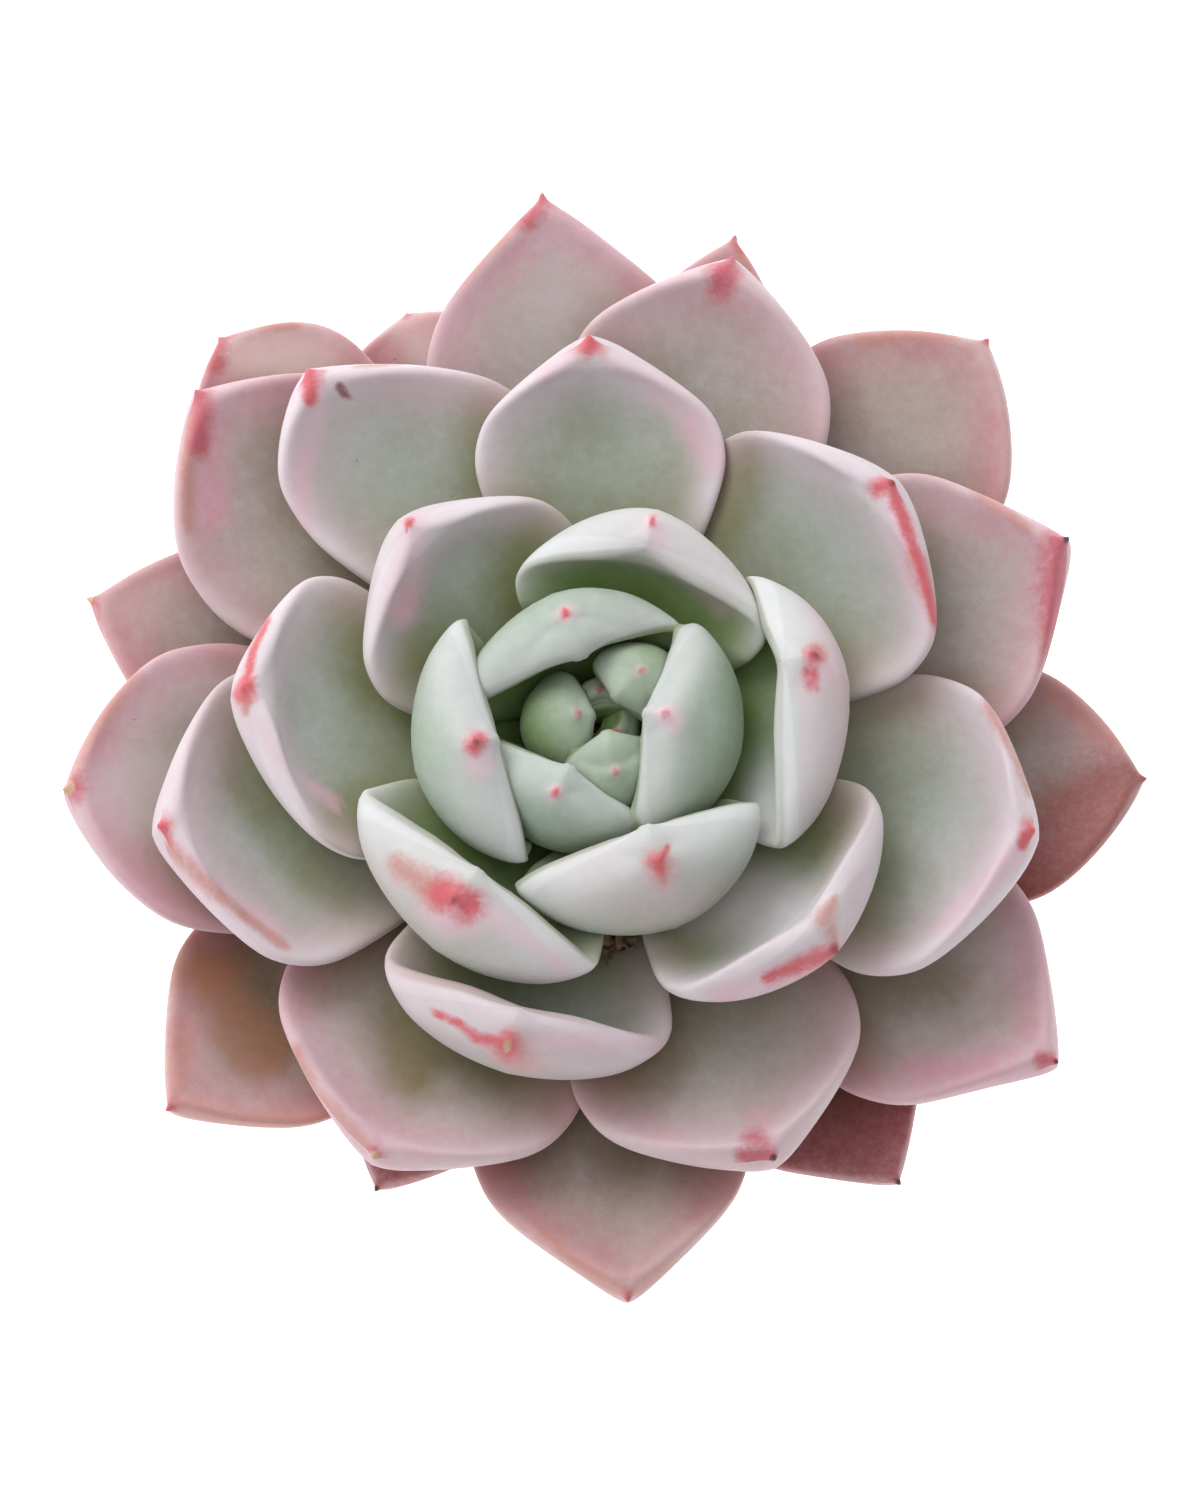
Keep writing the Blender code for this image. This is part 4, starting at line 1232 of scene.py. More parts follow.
    def add_point(self, verts: np.ndarray, sheet: np.ndarray, size: float,
                  hood: float) -> tuple[np.ndarray, np.ndarray]:
        """Raise the small hard point on the underside of the tip.

        Args:
            verts: the leaf's points.
            sheet: their blade coordinates.
            size: the point's size, as a share of the usual size.
            hood: how far the margins close over the tip.

        Returns:
            The moved points, and the middle of the hard point.
        """
        sides = self.sides
        rings = verts[:-2].reshape(-1, sides, 3)
        backs = sheet[:-2, 0].reshape(-1, sides)[:, 0]
        ring = int(np.argmin(np.abs(backs - self.point_back * hood)))
        low = 3 * sides // 4
        ahead = rings[min(ring + 1, len(rings) - 1)].mean(axis=0) - rings[ring - 2].mean(axis=0)
        ahead /= np.linalg.norm(ahead)
        below = rings[ring, low] - rings[ring, sides // 4]
        below /= np.linalg.norm(below)
        centre = rings[ring, low] if hood >= 0.5 else verts[-2]
        push = (ahead * (1.0 - self.point_lift * hood)
                + below * (self.point_droop + (1 - self.point_droop) * hood))
        push /= np.linalg.norm(push)
        gap = np.linalg.norm(verts - centre, axis=1) / (self.point_radius * min(1, size + 0.1))
        height = self.point_length * size * np.exp(-gap**self.point_falloff)
        return (verts + push * height[:, None],
                centre + push * self.point_length * size * self.point_middle)

    def half_widths(self, leaf: Leaf, at: np.ndarray) -> np.ndarray:
        """Read half the blade's width, before its left and right factors, along the blade.

        Args:
            leaf: the leaf's measures.
            at: where to read it, from 0 at the base to 1 at the end.

        Returns:
            The half widths, in metres.
        """
        shape = np.array(self.outline)
        shape = shape + leaf.blunt * np.array(self.blunter if leaf.blunt > 0 else self.sharper)
        shift = math.log(self.outline_widest) / math.log(leaf.widest)
        fine = np.linspace(0, 1, self.outline_steps)
        curve = np.minimum(eased(fine, self.outline_at, shape), 1)
        curve = np.interp(at**shift, fine, smoothed(curve, self.outline_easing))
        return np.maximum(curve, 0) * leaf.width / 2 * MM

    def wavering(self, verts: np.ndarray, rank: int) -> np.ndarray:
        """Work out the slight unevenness of a grown surface.

        Args:
            verts: the leaf's points.
            rank: its place in the rosette, which gives it an unevenness of its own.

        Returns:
            How far each point moves.
        """
        own = Vector((rank * self.waver_shift, 0, 0))
        moved = [noise.noise_vector(Vector(v / self.waver_size) + own) for v in verts]
        return np.array(moved) * self.waver

    def press(self, verts: np.ndarray, trees: list) -> tuple[np.ndarray, np.ndarray]:
        """Push a leaf's skin out through the underside of the younger leaves it meets.

        Args:
            verts: the leaf's points.
            trees: the younger leaves' surfaces, boxes and underside directions.

        Returns:
            The moved points, and how close each is to a younger leaf, from 0 to 1, for the painted shade.
        """
        moved = verts.copy()
        sheltered = np.zeros(len(verts))
        wide = self.shelter
        for tree, low, high, under in trees:
            near = np.all((moved > low - wide) & (moved < high + wide), axis=1)
            close = np.all((moved > low - self.gap) & (moved < high + self.gap), axis=1)
            for i in np.flatnonzero(near):
                spot = Vector(moved[i])
                found, _, _, distance = tree.find_nearest(spot, wide)
                if found is not None:
                    sheltered[i] = max(sheltered[i], 1 - distance / wide)
                if close[i]:
                    moved[i] = self.pushed(spot, tree, under)
        shift = (moved - verts)[:-2].reshape(self.sections, self.sides, 3)
        for _ in range(self.press_easing):
            padded = np.pad(shift, ((1, 1), (0, 0), (0, 0)), mode="edge")
            shift = (padded[:-2] + padded[1:-1] * 2 + padded[2:]) / 4
            shift = (np.roll(shift, 1, axis=1) + shift * 2 + np.roll(shift, -1, axis=1)) / 4
        moved[:-2] = verts[:-2] + shift.reshape(-1, 3)
        return moved, sheltered

    def pushed(self, spot: Vector, tree: BVHTree, under: Vector) -> Vector:
        """Move a point so that it lies under a younger leaf and not in it.

        Args:
            spot: the point.
            tree: the younger leaf's surface.
            under: the direction out of its underside.

        Returns:
            Where the point goes.
        """
        found, normal, _, distance = tree.find_nearest(spot)
        inside = (spot - found).dot(normal) < 0
        if normal.dot(under) > 0:
            return found + normal * self.gap if inside or distance < self.gap else spot
        if not inside and distance > self.over_reach:
            return spot
        end, travelled = spot.copy(), 0.0
        for _ in range(3):
            hit, _, _, step = tree.ray_cast(end, under, self.press_reach - travelled)
            if hit is None:
                break
            travelled += step + 1e-6
            end = hit + under * 1e-6
        return end + under * self.gap if travelled else spot

    def masks(self, verts: np.ndarray, flat: dict, rank: int) -> dict[str, np.ndarray]:
        """Work out what the leaf finish reads at each point.

        Args:
            verts: the leaf's points.
            flat: the blade coordinates from blade().
            rank: the leaf's place in the rosette.

        Returns:
            Values per point by attribute name.
        """
        grow = growth_at(rank)
        spots = np.stack([flat["back"], flat["left"]], axis=1) / MM
        edge, _ = distance_to_path(spots, flat["outline"] / MM)
        offset = (verts - flat["point"]) / MM
        from_tip = np.linalg.norm(offset, axis=1)
        share = 1 - flat["back"] / flat["length"]
        rim = (grow.rim * np.exp(-(edge / grow.rim_width)**2)
               * soft_step((share - self.rim_from) / self.rim_over))
        rim = rim * np.where(flat["side"] < self.rim_side, self.under_rim, 1.0)
        pink = grow.blush + grow.margin * np.exp(-(edge / grow.margin_width)**2) * soft_step(share)
        pink = np.maximum(pink, self.tip_pink * soft_step(1 - from_tip / grow.tip_reach))
        tints = {tint.value: np.full(len(verts), -1.0) for tint in Tint}
        tints |= {"rim": rim, "pink": pink, "red": 1 - from_tip / grow.red_reach,
                  "deep": 1 - soft_step((share - grow.deep_from + self.deep_before)
                                        / self.deep_over)}
        # painted shade: near younger leaves the upper face takes the base green and loses its pale margin
        shade = soft_step((flat["sheltered"] - self.shade_from) / self.shade_over)
        shade = shade * (flat["side"] > 0)
        tints["deep"] = np.maximum(tints["deep"] * self.deep_in_light, shade)
        tints["rim"] = rim * (1 - self.shaded_rim * shade)
        hooded = flat["hood"] > self.hooded_from
        far_side = self.hidden * (flat["side"] > self.upper_side if hooded
                                  else flat["side"] < self.lower_side)
        for mark in MARKS.get(rank + 1, ()):
            gap, along = distance_to_path(offset[:, :2], np.array(mark.path, float))
            free = self.mark_slope * np.linalg.norm(offset[:, :2], axis=1)
            lower = np.maximum(0, np.abs(offset[:, 2]) - free)
            gap = np.hypot(gap, 0.6 * np.maximum(0, lower - self.mark_drop))
            reach = mark.start + ((mark.end or mark.start) - mark.start) * along
            value = 1 - gap / reach
            if mark.face is Face.POINT:
                value = value - far_side
            elif not hooded:
                value = value - self.hidden * (flat["side"] < self.keel_side)
            key = mark.tint.value
            if mark.tint in (Tint.PINK, Tint.PALE, Tint.DEEP):
                tints[key] = np.maximum(tints[key], mark.strength * soft_step(value * 1.2))
            else:
                tints[key] = np.maximum(tints[key], np.minimum(value, mark.strength))
                if mark.tint is Tint.RED:
                    halo = soft_step(1 - gap / (reach * self.halo)) - far_side
                    tints["pink"] = np.maximum(tints["pink"],
                                               self.halo_pink * mark.strength * halo)
        return {key: np.clip(value, -1, 1) for key, value in tints.items()}


# ---- pot, soil, stem and litter --------------------------------------------------------------
TERRACOTTA = MineralFinish(light=(0.56, 0.26, 0.15), shade=(0.43, 0.17, 0.09),
                           dust=(0.66, 0.50, 0.40), stain=(0.24, 0.11, 0.07), mottle_size=0.009,
                           grain_size=0.0005, pit_size=0.0021, pits=0.35, depth=0.00012,
                           dusting=0.45, upward=0.15)
EARTH = MineralFinish(light=(0.10, 0.065, 0.04), shade=(0.035, 0.022, 0.014),
                      dust=(0.20, 0.15, 0.10), stain=(0.02, 0.013, 0.009), mottle_size=0.003,
                      grain_size=0.0007, pit_size=0.0012, pits=0.9, depth=0.0006, dusting=0.3)
BARK = MineralFinish(light=(0.30, 0.22, 0.14), shade=(0.16, 0.10, 0.06), dust=(0.45, 0.38, 0.28),
                     stain=(0.07, 0.04, 0.025), mottle_size=0.0022, grain_size=0.0004,
                     pit_size=0.0010, pits=0.6, depth=0.0002, dusting=0.3)
ROOT_SKIN = MineralFinish(light=(0.55, 0.44, 0.31), shade=(0.38, 0.27, 0.17), dust=(0.20, 0.14, 0.09),
                          stain=(0.16, 0.10, 0.06), mottle_size=0.003, grain_size=0.0004,
                          pit_size=0.0009, pits=0.4, dusting=0.45)
DRY_LEAF = MineralFinish(light=(0.34, 0.22, 0.13), shade=(0.10, 0.055, 0.03), dust=(0.50, 0.38, 0.26),
                         stain=(0.03, 0.018, 0.01), mottle_size=0.0009, grain_size=0.0002,
                         pit_size=0.0005, pits=0.5, depth=0.00008, dusting=0.3)


def turned(profile: list[tuple[float, float]], segments: int) -> tuple[np.ndarray, list]:
    """Turn a closed ring profile round the vertical.

    Args:
        profile: (radius, height) corners of the closed section, none on the axis.
        segments: steps round the turn.

    Returns:
        Points, step by step round the turn, and faces.
    """
    ring = np.array(profile)
    angle = np.arange(segments) / segments * 2 * np.pi
    verts = np.stack([np.outer(np.cos(angle), ring[:, 0]), np.outer(np.sin(angle), ring[:, 0]),
                      np.broadcast_to(ring[:, 1], (segments, len(ring)))], axis=2).reshape(-1, 3)
    faces, count = [], len(ring)
    for j in range(segments):
        one, two = j * count, (j + 1) % segments * count
        for k in range(count):
            n = (k + 1) % count
            faces.append((one + k, two + k, two + n, one + n))
    return verts, faces


@dataclass
class Pot:
    """A plain hand-thrown clay pot: tapered body, collar, rounded lip, drain hole."""
    effects: Effects
    foot_radius: float = 27.5 * MM
    shoulder_radius: float = 36.0 * MM
    collar_height: float = 18.0 * MM
    wall: float = 4.0 * MM
    floor: float = 5.0 * MM
    hole_radius: float = 6.0 * MM
    lip: float = 1.4 * MM
    inner_foot: float = 23.5 * MM
    throwing_lines: float = 0.10 * MM
    line_pitch: float = 2.3 * MM
    groove: float = 0.5 * MM            # turned line under the lip
    groove_at: tuple[float, float, float] = (5.4 * MM, 4.9 * MM, 4.4 * MM)  # under the top
    hole_edge: float = 0.6 * MM         # the drain hole's edges are taken off by this
    plain_ends: float = 2.0 * MM        # no throwing lines this near the foot or the top
    unround: float = 0.0022             # share of the radius that uneven throwing takes off
    unround_waves: tuple[float, float, float] = (22, 22, 60)                # per metre
    damp_foot: tuple[float, float] = (0.75, 16.0 * MM)      # how damp, and how far up it fades
    damp_lip: tuple[float, float] = (0.55, 7.0 * MM)        # and how far down
    dampest: float = 0.6
    segments: int = 176
    step: float = 0.55 * MM

    def build(self) -> None:
        """Build and attach the pot."""
        low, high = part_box("pot")
        rim, top = (high[0] - low[0]) / 2, high[2]
        verts, faces = turned(self.profile(rim, top), self.segments)
        height = verts[:, 2]
        unround = np.array([noise.noise(Vector(v * self.unround_waves)) for v in verts])
        verts[:, :2] *= (1 - self.unround * (1 + unround))[:, None]
        foot = self.damp_foot[0] - height / self.damp_foot[1]
        lip = self.damp_lip[0] - (top - height) / self.damp_lip[1]
        damp = np.clip(np.maximum(foot, lip), -1, self.dampest)
        clay = TERRACOTTA.make("terracotta", self.effects)
        attach(place_mesh("pot_body", verts, faces, clay, {"damp": damp}), "clay", "pot")

    def profile(self, rim: float, top: float) -> list[tuple[float, float]]:
        """List the fine section of the pot, up its outside, over the lip and down inside.

        Args:
            rim: the radius of the collar.
            top: the pot's height.

        Returns:
            Radius and height of each corner.
        """
        collar, r, inner = top - self.collar_height, self.lip, rim - self.wall
        hole, edge, shoulder = self.hole_radius, self.hole_edge, self.shoulder_radius
        groove = [top - down for down in self.groove_at]
        corners = [(hole, edge), (hole + edge, 0), (self.foot_radius - r, 0),
                   (self.foot_radius - 0.3 * r, 0.3 * r), (self.foot_radius, r),
                   (shoulder, collar - 2 * r), (shoulder + 0.6 * r, collar - 1.2 * r),
                   (rim - 0.8 * r, collar - 0.6 * r), (rim - 0.2 * r, collar),
                   (rim, collar + 0.8 * r), (rim, groove[0]), (rim - self.groove, groove[1]),
                   (rim, groove[2]), (rim, top - r), (rim - 0.3 * r, top - 0.3 * r),
                   (rim - r, top), (inner + r, top), (inner + 0.3 * r, top - 0.3 * r),
                   (inner, top - r), (self.inner_foot, self.floor), (hole + edge, self.floor),
                   (hole, self.floor - edge)]
        section = []
        for (r0, z0), (r1, z1) in zip(corners, corners[1:] + corners[:1]):
            steps = max(1, round(math.hypot(r1 - r0, z1 - z0) / self.step))
            for k in range(steps):
                s = k / steps
                radius, z = r0 + (r1 - r0) * s, z0 + (z1 - z0) * s
                if radius > self.inner_foot and self.plain_ends < z < top - self.plain_ends:
                    wave = math.sin(2 * math.pi * z / self.line_pitch)
                    radius -= self.throwing_lines * (1 + wave) / 2
                section.append((radius, z))
        return section


class Grit(Enum):
    """The kinds of crumb that lie on the soil; the value is the piece's name."""
    PUMICE = "soil_pumice"
    BARK_BITS = "soil_bark_bits"
    CLAY_GRAIN = "soil_clay_grains"


GRIT_FINISHES = {
    Grit.PUMICE: MineralFinish(light=(0.62, 0.57, 0.48), shade=(0.42, 0.37, 0.30),
                               dust=(0.30, 0.23, 0.16), stain=(0.14, 0.10, 0.07), mottle_size=0.002,
                               grain_size=0.0003, pit_size=0.0006, pits=0.8, dusting=0.35),
    Grit.BARK_BITS: MineralFinish(light=(0.13, 0.08, 0.045), shade=(0.05, 0.03, 0.018),
                                  dust=(0.24, 0.18, 0.12), stain=(0.02, 0.012, 0.008),
                                  mottle_size=0.0015, grain_size=0.0003, pit_size=0.0007, pits=0.6,
                                  dusting=0.3),
    Grit.CLAY_GRAIN: MineralFinish(light=(0.36, 0.20, 0.11), shade=(0.22, 0.11, 0.06),
                                   dust=(0.42, 0.32, 0.22), stain=(0.08, 0.045, 0.03),
                                   mottle_size=0.002, grain_size=0.0003, pit_size=0.0007, pits=0.5,
                                   dusting=0.35),
}


@dataclass
class Soil:
    """The packed soil, given an earth finish, with loose crumbs of three kinds on it."""
    effects: Effects
    counts: tuple = ((Grit.PUMICE, 150), (Grit.BARK_BITS, 190), (Grit.CLAY_GRAIN, 210))
    smallest: float = 0.55 * MM
    largest: float = 1.9 * MM
    wall_gap: float = 0.8 * MM
    stem_gap: float = 5.6 * MM
    stem_axis: tuple[float, float] = STEM_AXIS
    crumb_detail: int = 2
    crumb_lumps: tuple = ((1.3, 0.45), (3.1, 0.2))      # waves over its radius, and their height
    crumb_turn: float = 6.3             # radians, at most
    crumb_tilt: float = 0.7
    standing: float = 0.25              # how far a crumb's middle lies over the soil, in radii
    overlap: float = 0.85               # crumbs may lie this close, over touching
    tries: int = 60
    seed: int = 40

    def build(self) -> None:
        """Dress the soil and scatter the crumbs over it."""
        soil = dress("soil", EARTH.make("earth", self.effects))
        surface = BVHTree.FromPolygons([v.co.copy() for v in soil.data.vertices],
                                       [tuple(f.vertices) for f in soil.data.polygons])
        low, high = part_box("soil")
        reach = (high[0] - low[0]) / 2 - self.wall_gap
        draw = np.random.default_rng(self.seed)
        placed: list[tuple[float, float, float]] = []
        for grit, count in self.counts:
            verts, faces = [], []
            for _ in range(count):
                size = self.smallest + (self.largest - self.smallest) * draw.random() ** 2
                spot = self.free_spot(draw, reach - size, size, placed)
                if spot is None:
                    continue
                placed.append((*spot, size))
                hit = surface.ray_cast(Vector((*spot, high[2] + 5 * MM)), Vector((0, 0, -1)))[0]
                middle = hit + Vector((0, 0, self.standing * size))
                self.add_crumb(verts, faces, draw, grit, middle, size)
            finish = GRIT_FINISHES[grit].make(grit.value, self.effects)
            attach(place_mesh(grit.value, verts, faces, finish), "earth")

    def free_spot(self, draw: np.random.Generator, reach: float, size: float,
                  placed: list) -> tuple[float, float] | None:
        """Find a place on the soil that no crumb or stem takes.

        Args:
            draw: the source of random numbers.
            reach: how far from the pot's axis it may be.
            size: the crumb's radius.
            placed: x, y and radius of the crumbs already there.

        Returns:
            Its x and y, or None when there was no room.
        """
        for _ in range(self.tries):
            turn, out = draw.random() * 2 * math.pi, reach * math.sqrt(draw.random())
            x, y = out * math.cos(turn), out * math.sin(turn)
            if math.hypot(x - self.stem_axis[0], y - self.stem_axis[1]) < self.stem_gap + size:
                continue
            if all(math.hypot(x - a, y - b) > self.overlap * (size + r) for a, b, r in placed):
                return x, y
        return None

    def add_crumb(self, verts: list, faces: list, draw: np.random.Generator, grit: Grit,
                  spot: Vector, size: float) -> None:
        """Add one closed, lumpy crumb.

        Args:
            verts: the list its points go into.
            faces: the list its faces go into.
            draw: the source of random numbers.
            grit: what it is made of.
            spot: its middle.
            size: its radius.
        """
        shape = bmesh.new()
        bmesh.ops.create_icosphere(shape, subdivisions=self.crumb_detail, radius=1.0)
        long = (0.75 + 0.4 * draw.random(), 0.8, 0.5 + 0.3 * draw.random())
        if grit is Grit.BARK_BITS:
            long = (1.3, 0.6 + 0.3 * draw.random(), 0.32)
        turn = (Matrix.Rotation(draw.random() * self.crumb_turn, 3, "Z")
                @ Matrix.Rotation(draw.random() * self.crumb_tilt, 3, "X"))
        own = Vector(draw.random(3) * 90)
        first = len(verts)
        for v in shape.verts:
            lump = 1.0
            for waves, height in self.crumb_lumps:
                lump += height * noise.noise(v.co * waves + own)
            local = Vector([a * b for a, b in zip(v.co, long)]) * size * lump
            verts.append(spot + turn @ local)
        faces.extend(tuple(first + v.index for v in f.verts) for f in shape.faces)
        shape.free()


@dataclass
class Stem:
    """The corky stem under the leaves, with the scars of fallen leaves, and the buried roots."""
    effects: Effects
    axis: tuple[float, float] = STEM_AXIS
    radius: float = 4.7 * MM
    foot_radius: float = 3.0 * MM
    full_z: float = 84.6 * MM
    scar_depth: float = 0.45 * MM
    scar_rise: float = 1.05 * MM        # from one scar up to the next
    scar_turn: float = 137.5
    scar_size: tuple[float, float] = (3.0 * MM, 0.95 * MM)
    scar_edge: float = 1.6              # how sharply a scar ends
    scar_sunk: float = 0.8              # share of the grooves' depth that is taken off
    groove_damp: tuple[float, float] = (0.6, 1.6)           # in a groove, and less on a scar
    slimness: float = 0.93
    tip_power: float = 1.1              # how the stem narrows to its growing tip
    foot_height: float = 8.0 * MM       # its foot rounds off over this height
    swelling: tuple[float, float] = (2.0 * MM, 12.0 * MM)   # from here over this height
    ends: tuple[float, float] = (0.002, 0.998)              # its first and last ring
    cap_gap: float = 0.02 * MM
    roots: int = 4
    rings: int = 190
    sides: int = 96

    def build(self) -> None:
        """Build and attach the stem, and dress the roots."""
        low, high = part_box("stem")
        height = low[2] + (high[2] - low[2]) * np.linspace(*self.ends, self.rings)
        tip = np.clip((height - self.full_z) / (high[2] - self.full_z), 0, 1)
        foot = np.clip((height - low[2]) / self.foot_height, 0, 1)
        swell = np.clip((height - low[2] - self.swelling[0]) / self.swelling[1], 0, 1)
        radius = np.minimum(self.radius * np.sqrt(1 - tip**self.tip_power) * self.slimness,
                            self.foot_radius * np.sqrt(foot * (2 - foot))
                            + swell * (self.radius - self.foot_radius))
        angle = np.arange(self.sides) / self.sides * 2 * np.pi
        scars = self.scars(height, angle)
        depth = self.scar_depth * (1 - scars) * (radius / self.radius)[:, None]
        out = radius[:, None] - depth * self.scar_sunk
        verts = np.stack([self.axis[0] + out * np.cos(angle), self.axis[1] + out * np.sin(angle),
                          np.broadcast_to(height[:, None], out.shape)], axis=2).reshape(-1, 3)
        ends = [[*self.axis, high[2] - self.cap_gap], [*self.axis, low[2] + self.cap_gap]]
        verts = np.concatenate([verts, ends])
        in_groove, less = self.groove_damp
        damp = np.concatenate([(in_groove - less * scars).ravel(), [0, 0]])
        bark = BARK.make("bark", self.effects)
        attach(place_mesh("stem_bark", verts, tube_faces(self.rings, self.sides), bark,
                          {"damp": damp}), "bark", "stem")
        skin = ROOT_SKIN.make("root_skin", self.effects)
        for number in range(1, self.roots + 1):
            dress(f"root_{number}", skin)

    def scars(self, height: np.ndarray, angle: np.ndarray) -> np.ndarray:
        """Work out the raised leaf scars over the stem.

        Args:
            height: heights of the stem's rings.
            angle: directions of the points in a ring.

        Returns:
            Ring by ring, 1 on a scar and 0 in the grooves.
        """
        raised = np.zeros((len(height), len(angle)))
        wide, tall = self.scar_size
        turn, z = 0.0, height[0]
        while z < height[-1]:
            around = (angle - turn + np.pi) % (2 * np.pi) - np.pi
            away = np.sqrt((around[None, :] * self.radius / wide)**2
                           + ((height[:, None] - z) / tall)**2)
            raised = np.maximum(raised, soft_step(self.scar_edge - self.scar_edge * away))
            turn = (turn + math.radians(self.scar_turn)) % (2 * math.pi)
            z += self.scar_rise
        return raised


@dataclass
class Litter:
    """Crumpled bits of a dried leaf caught between the leaves."""
    effects: Effects
    bits: tuple = (                     # middle and size in millimetres, turn in degrees
        ((-0.8, -22.8, 89.0), 1.7, 20), ((1.1, -22.6, 88.4), 1.5, 115),
        ((0.0, -23.8, 87.6), 1.5, 70), ((1.9, -23.6, 87.4), 1.1, 10))
    thickness: float = 0.12 * MM
    narrow: float = 0.62                # a flake's width over its length
    squareness: float = 2.2             # 2 makes its outline round
    creases: float = 1.7                # how many there are over half its length
    crumple: float = 0.75               # how far they stand out, over half its length
    lean: float = 0.8                   # how steeply it stands, in radians
    across: int = 12                    # points each way

    def build(self) -> None:
        """Build and attach the bits as one piece of closed crumpled flakes."""
        verts, faces = [], []
        for number, (middle, size, turn) in enumerate(self.bits):
            self.add_flake(verts, faces, Vector(middle) * MM, size * MM, math.radians(turn), number)
        attach(place_mesh("dry_leaf_bits", verts, faces, DRY_LEAF.make("dry_leaf", self.effects)),
               "bark")

    def add_flake(self, verts: list, faces: list, middle: Vector, size: float, turn: float,
                  number: int) -> None:
        """Add one flake: a small sheet, crumpled, with its own thickness.

        Args:
            verts: the list its points go into.
            faces: the list its faces go into.
            middle: its middle.
            size: half its length.
            turn: its turn round the vertical.
            number: its number, which gives it creases of its own.
        """
        n, first = self.across, len(verts)
        spin = Matrix.Rotation(turn, 3, "Z") @ Matrix.Rotation(self.lean, 3, "X")
        for side in (1, -1):
            for i in range(n):
                for j in range(n):
                    u, v = 2 * i / (n - 1) - 1, 2 * j / (n - 1) - 1
                    flat = Vector((u * math.sqrt(1 - v * v / self.squareness),
                                   self.narrow * v * math.sqrt(1 - u * u / self.squareness), 0))
                    crumple = noise.noise_vector(flat * self.creases + Vector((number * 9, 0, 0)))
                    spot = (flat + self.crumple * crumple) * size
                    verts.append(middle + spin @ (spot + Vector((0, 0, side * self.thickness / 2))))
        half = n * n
        for i in range(n - 1):
            for j in range(n - 1):
                a = first + i * n + j
                faces.append((a, a + n, a + n + 1, a + 1))
                faces.append((a + half, a + half + 1, a + half + n + 1, a + half + n))
        edge = ([i * n for i in range(n)] + [(n - 1) * n + j for j in range(1, n)]
                + [i * n + n - 1 for i in range(n - 2, -1, -1)] + list(range(n - 2, 0, -1)))
        for a, b in zip(edge, edge[1:] + edge[:1]):
            faces.append((first + a, first + a + half, first + b + half, first + b))


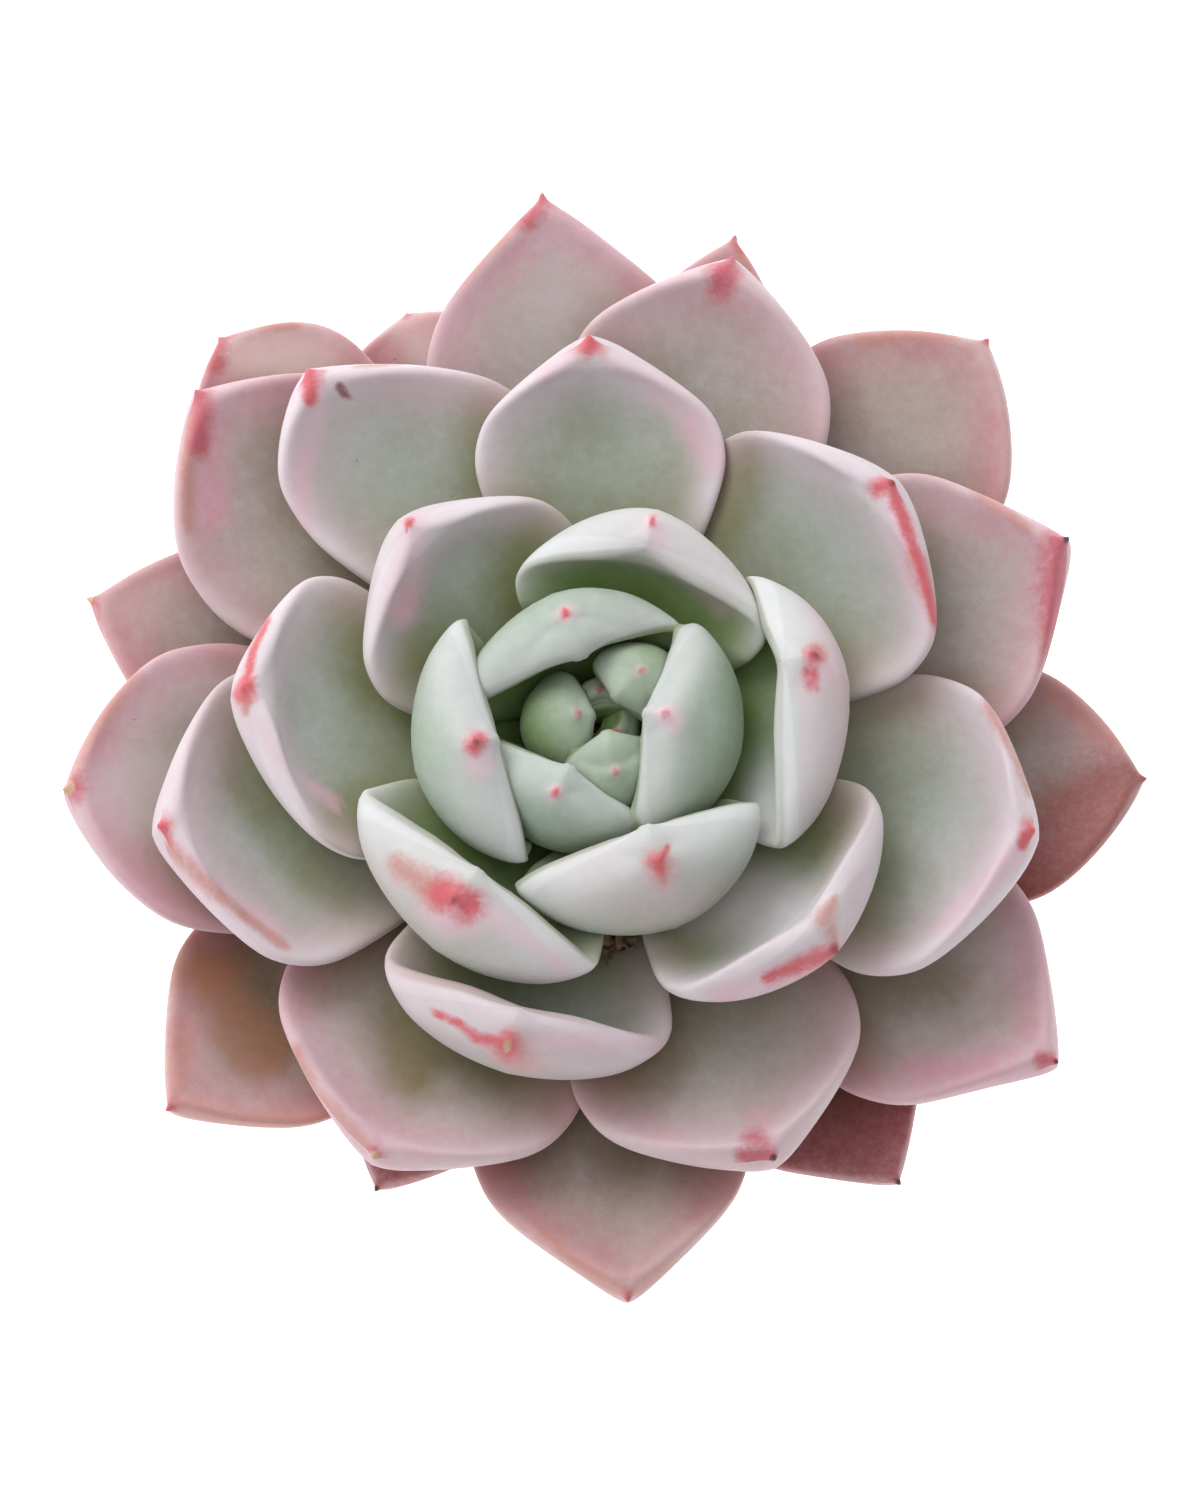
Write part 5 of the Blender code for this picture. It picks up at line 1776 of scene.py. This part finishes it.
# ---- studio ----------------------------------------------------------------------------------
@dataclass(frozen=True)
class Studio:
    """Camera, soft lights and a plain pale floor."""
    elevation: float = 75.0
    distance: float = 0.6
    lens: float = 144.0
    aim: tuple[float, float, float] = (-0.8 * MM, -2.893 * MM, 84.948 * MM)
    floor_size: float = 6.0
    dome_dark: float = 0.21             # strength of the dome on its dark side
    dome_bright: float = 1.12           # and on its bright side
    bright_side: tuple[float, float, float] = (-0.45, 0.55, 0.70)
    key_size: float = 0.9
    key_place: tuple[float, float, float] = (-0.65, 0.80, 1.10)
    key_power: float = 9.6
    floor_glow: float = 0.75            # the floor is lit from below
    floor_tints: tuple[Colour, Colour] = ((0.90, 0.90, 0.90), (0.92, 0.92, 0.92))
    floor_clouds: float = 0.4
    sky: Colour = (0.98, 0.99, 1.0)
    dark_from: float = -0.7             # -1 would be straight away from the bright side
    sensor: float = 36.0
    clip: tuple[float, float] = (0.01, 20.0)

    def build(self) -> None:
        """Set up the camera, the lights, the world and the floor."""
        scene = bpy.context.scene
        tilt = math.radians(self.elevation)
        back = Vector((0, -math.cos(tilt), math.sin(tilt)))
        data = bpy.data.cameras.new("camera")
        data.lens = self.lens
        data.sensor_width = self.sensor
        data.clip_start, data.clip_end = self.clip
        camera = bpy.data.objects.new("camera", data)
        camera.location = Vector(self.aim) + back * self.distance
        camera.rotation_euler = (math.pi / 2 - tilt, 0, 0)
        scene.collection.objects.link(camera)
        scene.camera = camera
        scene.view_settings.view_transform = "Standard"
        self.add_dome(scene)

        light = bpy.data.lights.new("softbox", "AREA")
        light.shape = "DISK"
        light.size = self.key_size
        light.energy = self.key_power
        lamp = bpy.data.objects.new("softbox", light)
        lamp.location = self.key_place
        towards = Vector(self.aim) - Vector(self.key_place)
        lamp.rotation_euler = towards.to_track_quat("-Z", "Y").to_euler()
        scene.collection.objects.link(lamp)

        material, bench, shader = new_material("studio_floor")
        cloud = bench.noise(self.floor_clouds, 2.0, 0.5)
        bench.feed(shader.inputs["Base Color"], bench.mix(cloud, *self.floor_tints))
        preset(shader, Roughness=0.9, Emission_Color=(1.0, 1.0, 1.0, 1.0),
               Emission_Strength=self.floor_glow)
        half = self.floor_size / 2
        floor = place_mesh("floor", [(-half, -half, 0), (half, -half, 0), (half, half, 0),
                                     (-half, half, 0)], [(0, 1, 2, 3)], material)

    def add_dome(self, scene: bpy.types.Scene) -> None:
        """Light the scene with a soft dome, brighter on one side and plain white to look at.

        Args:
            scene: the scene to light.
        """
        world = bpy.data.worlds.new("studio")
        world.use_nodes = True
        bench = Bench(world.node_tree)
        aimed = bench.node("VectorMath", operation="DOT_PRODUCT")
        bench.feed(aimed.inputs[0], bench.node("TexCoord").outputs["Generated"])
        aimed.inputs[1].default_value = Vector(self.bright_side).normalized()
        glow = bench.rise(aimed.outputs["Value"], self.dark_from, 1.0, self.dome_dark,
                          self.dome_bright)
        seen = bench.node("LightPath").outputs["Is Camera Ray"]
        strength = bench.math("MAXIMUM", glow, seen)
        sky = world.node_tree.nodes["Background"]
        preset(sky, Color=(*self.sky, 1.0))
        bench.feed(sky.inputs["Strength"], strength)
        scene.world = world


def main() -> None:
    """Build the plant, its pot and the studio."""
    logging.basicConfig(level=logging.INFO, format="%(name)s %(message)s")
    noise.seed_set(NOISE_SEED)
    effects = Effects()
    Pot(effects).build()
    Soil(effects).build()
    Stem(effects).build()
    Rosette(effects).build()
    Litter(effects).build()
    Studio().build()


if __name__ == "__main__":
    main()
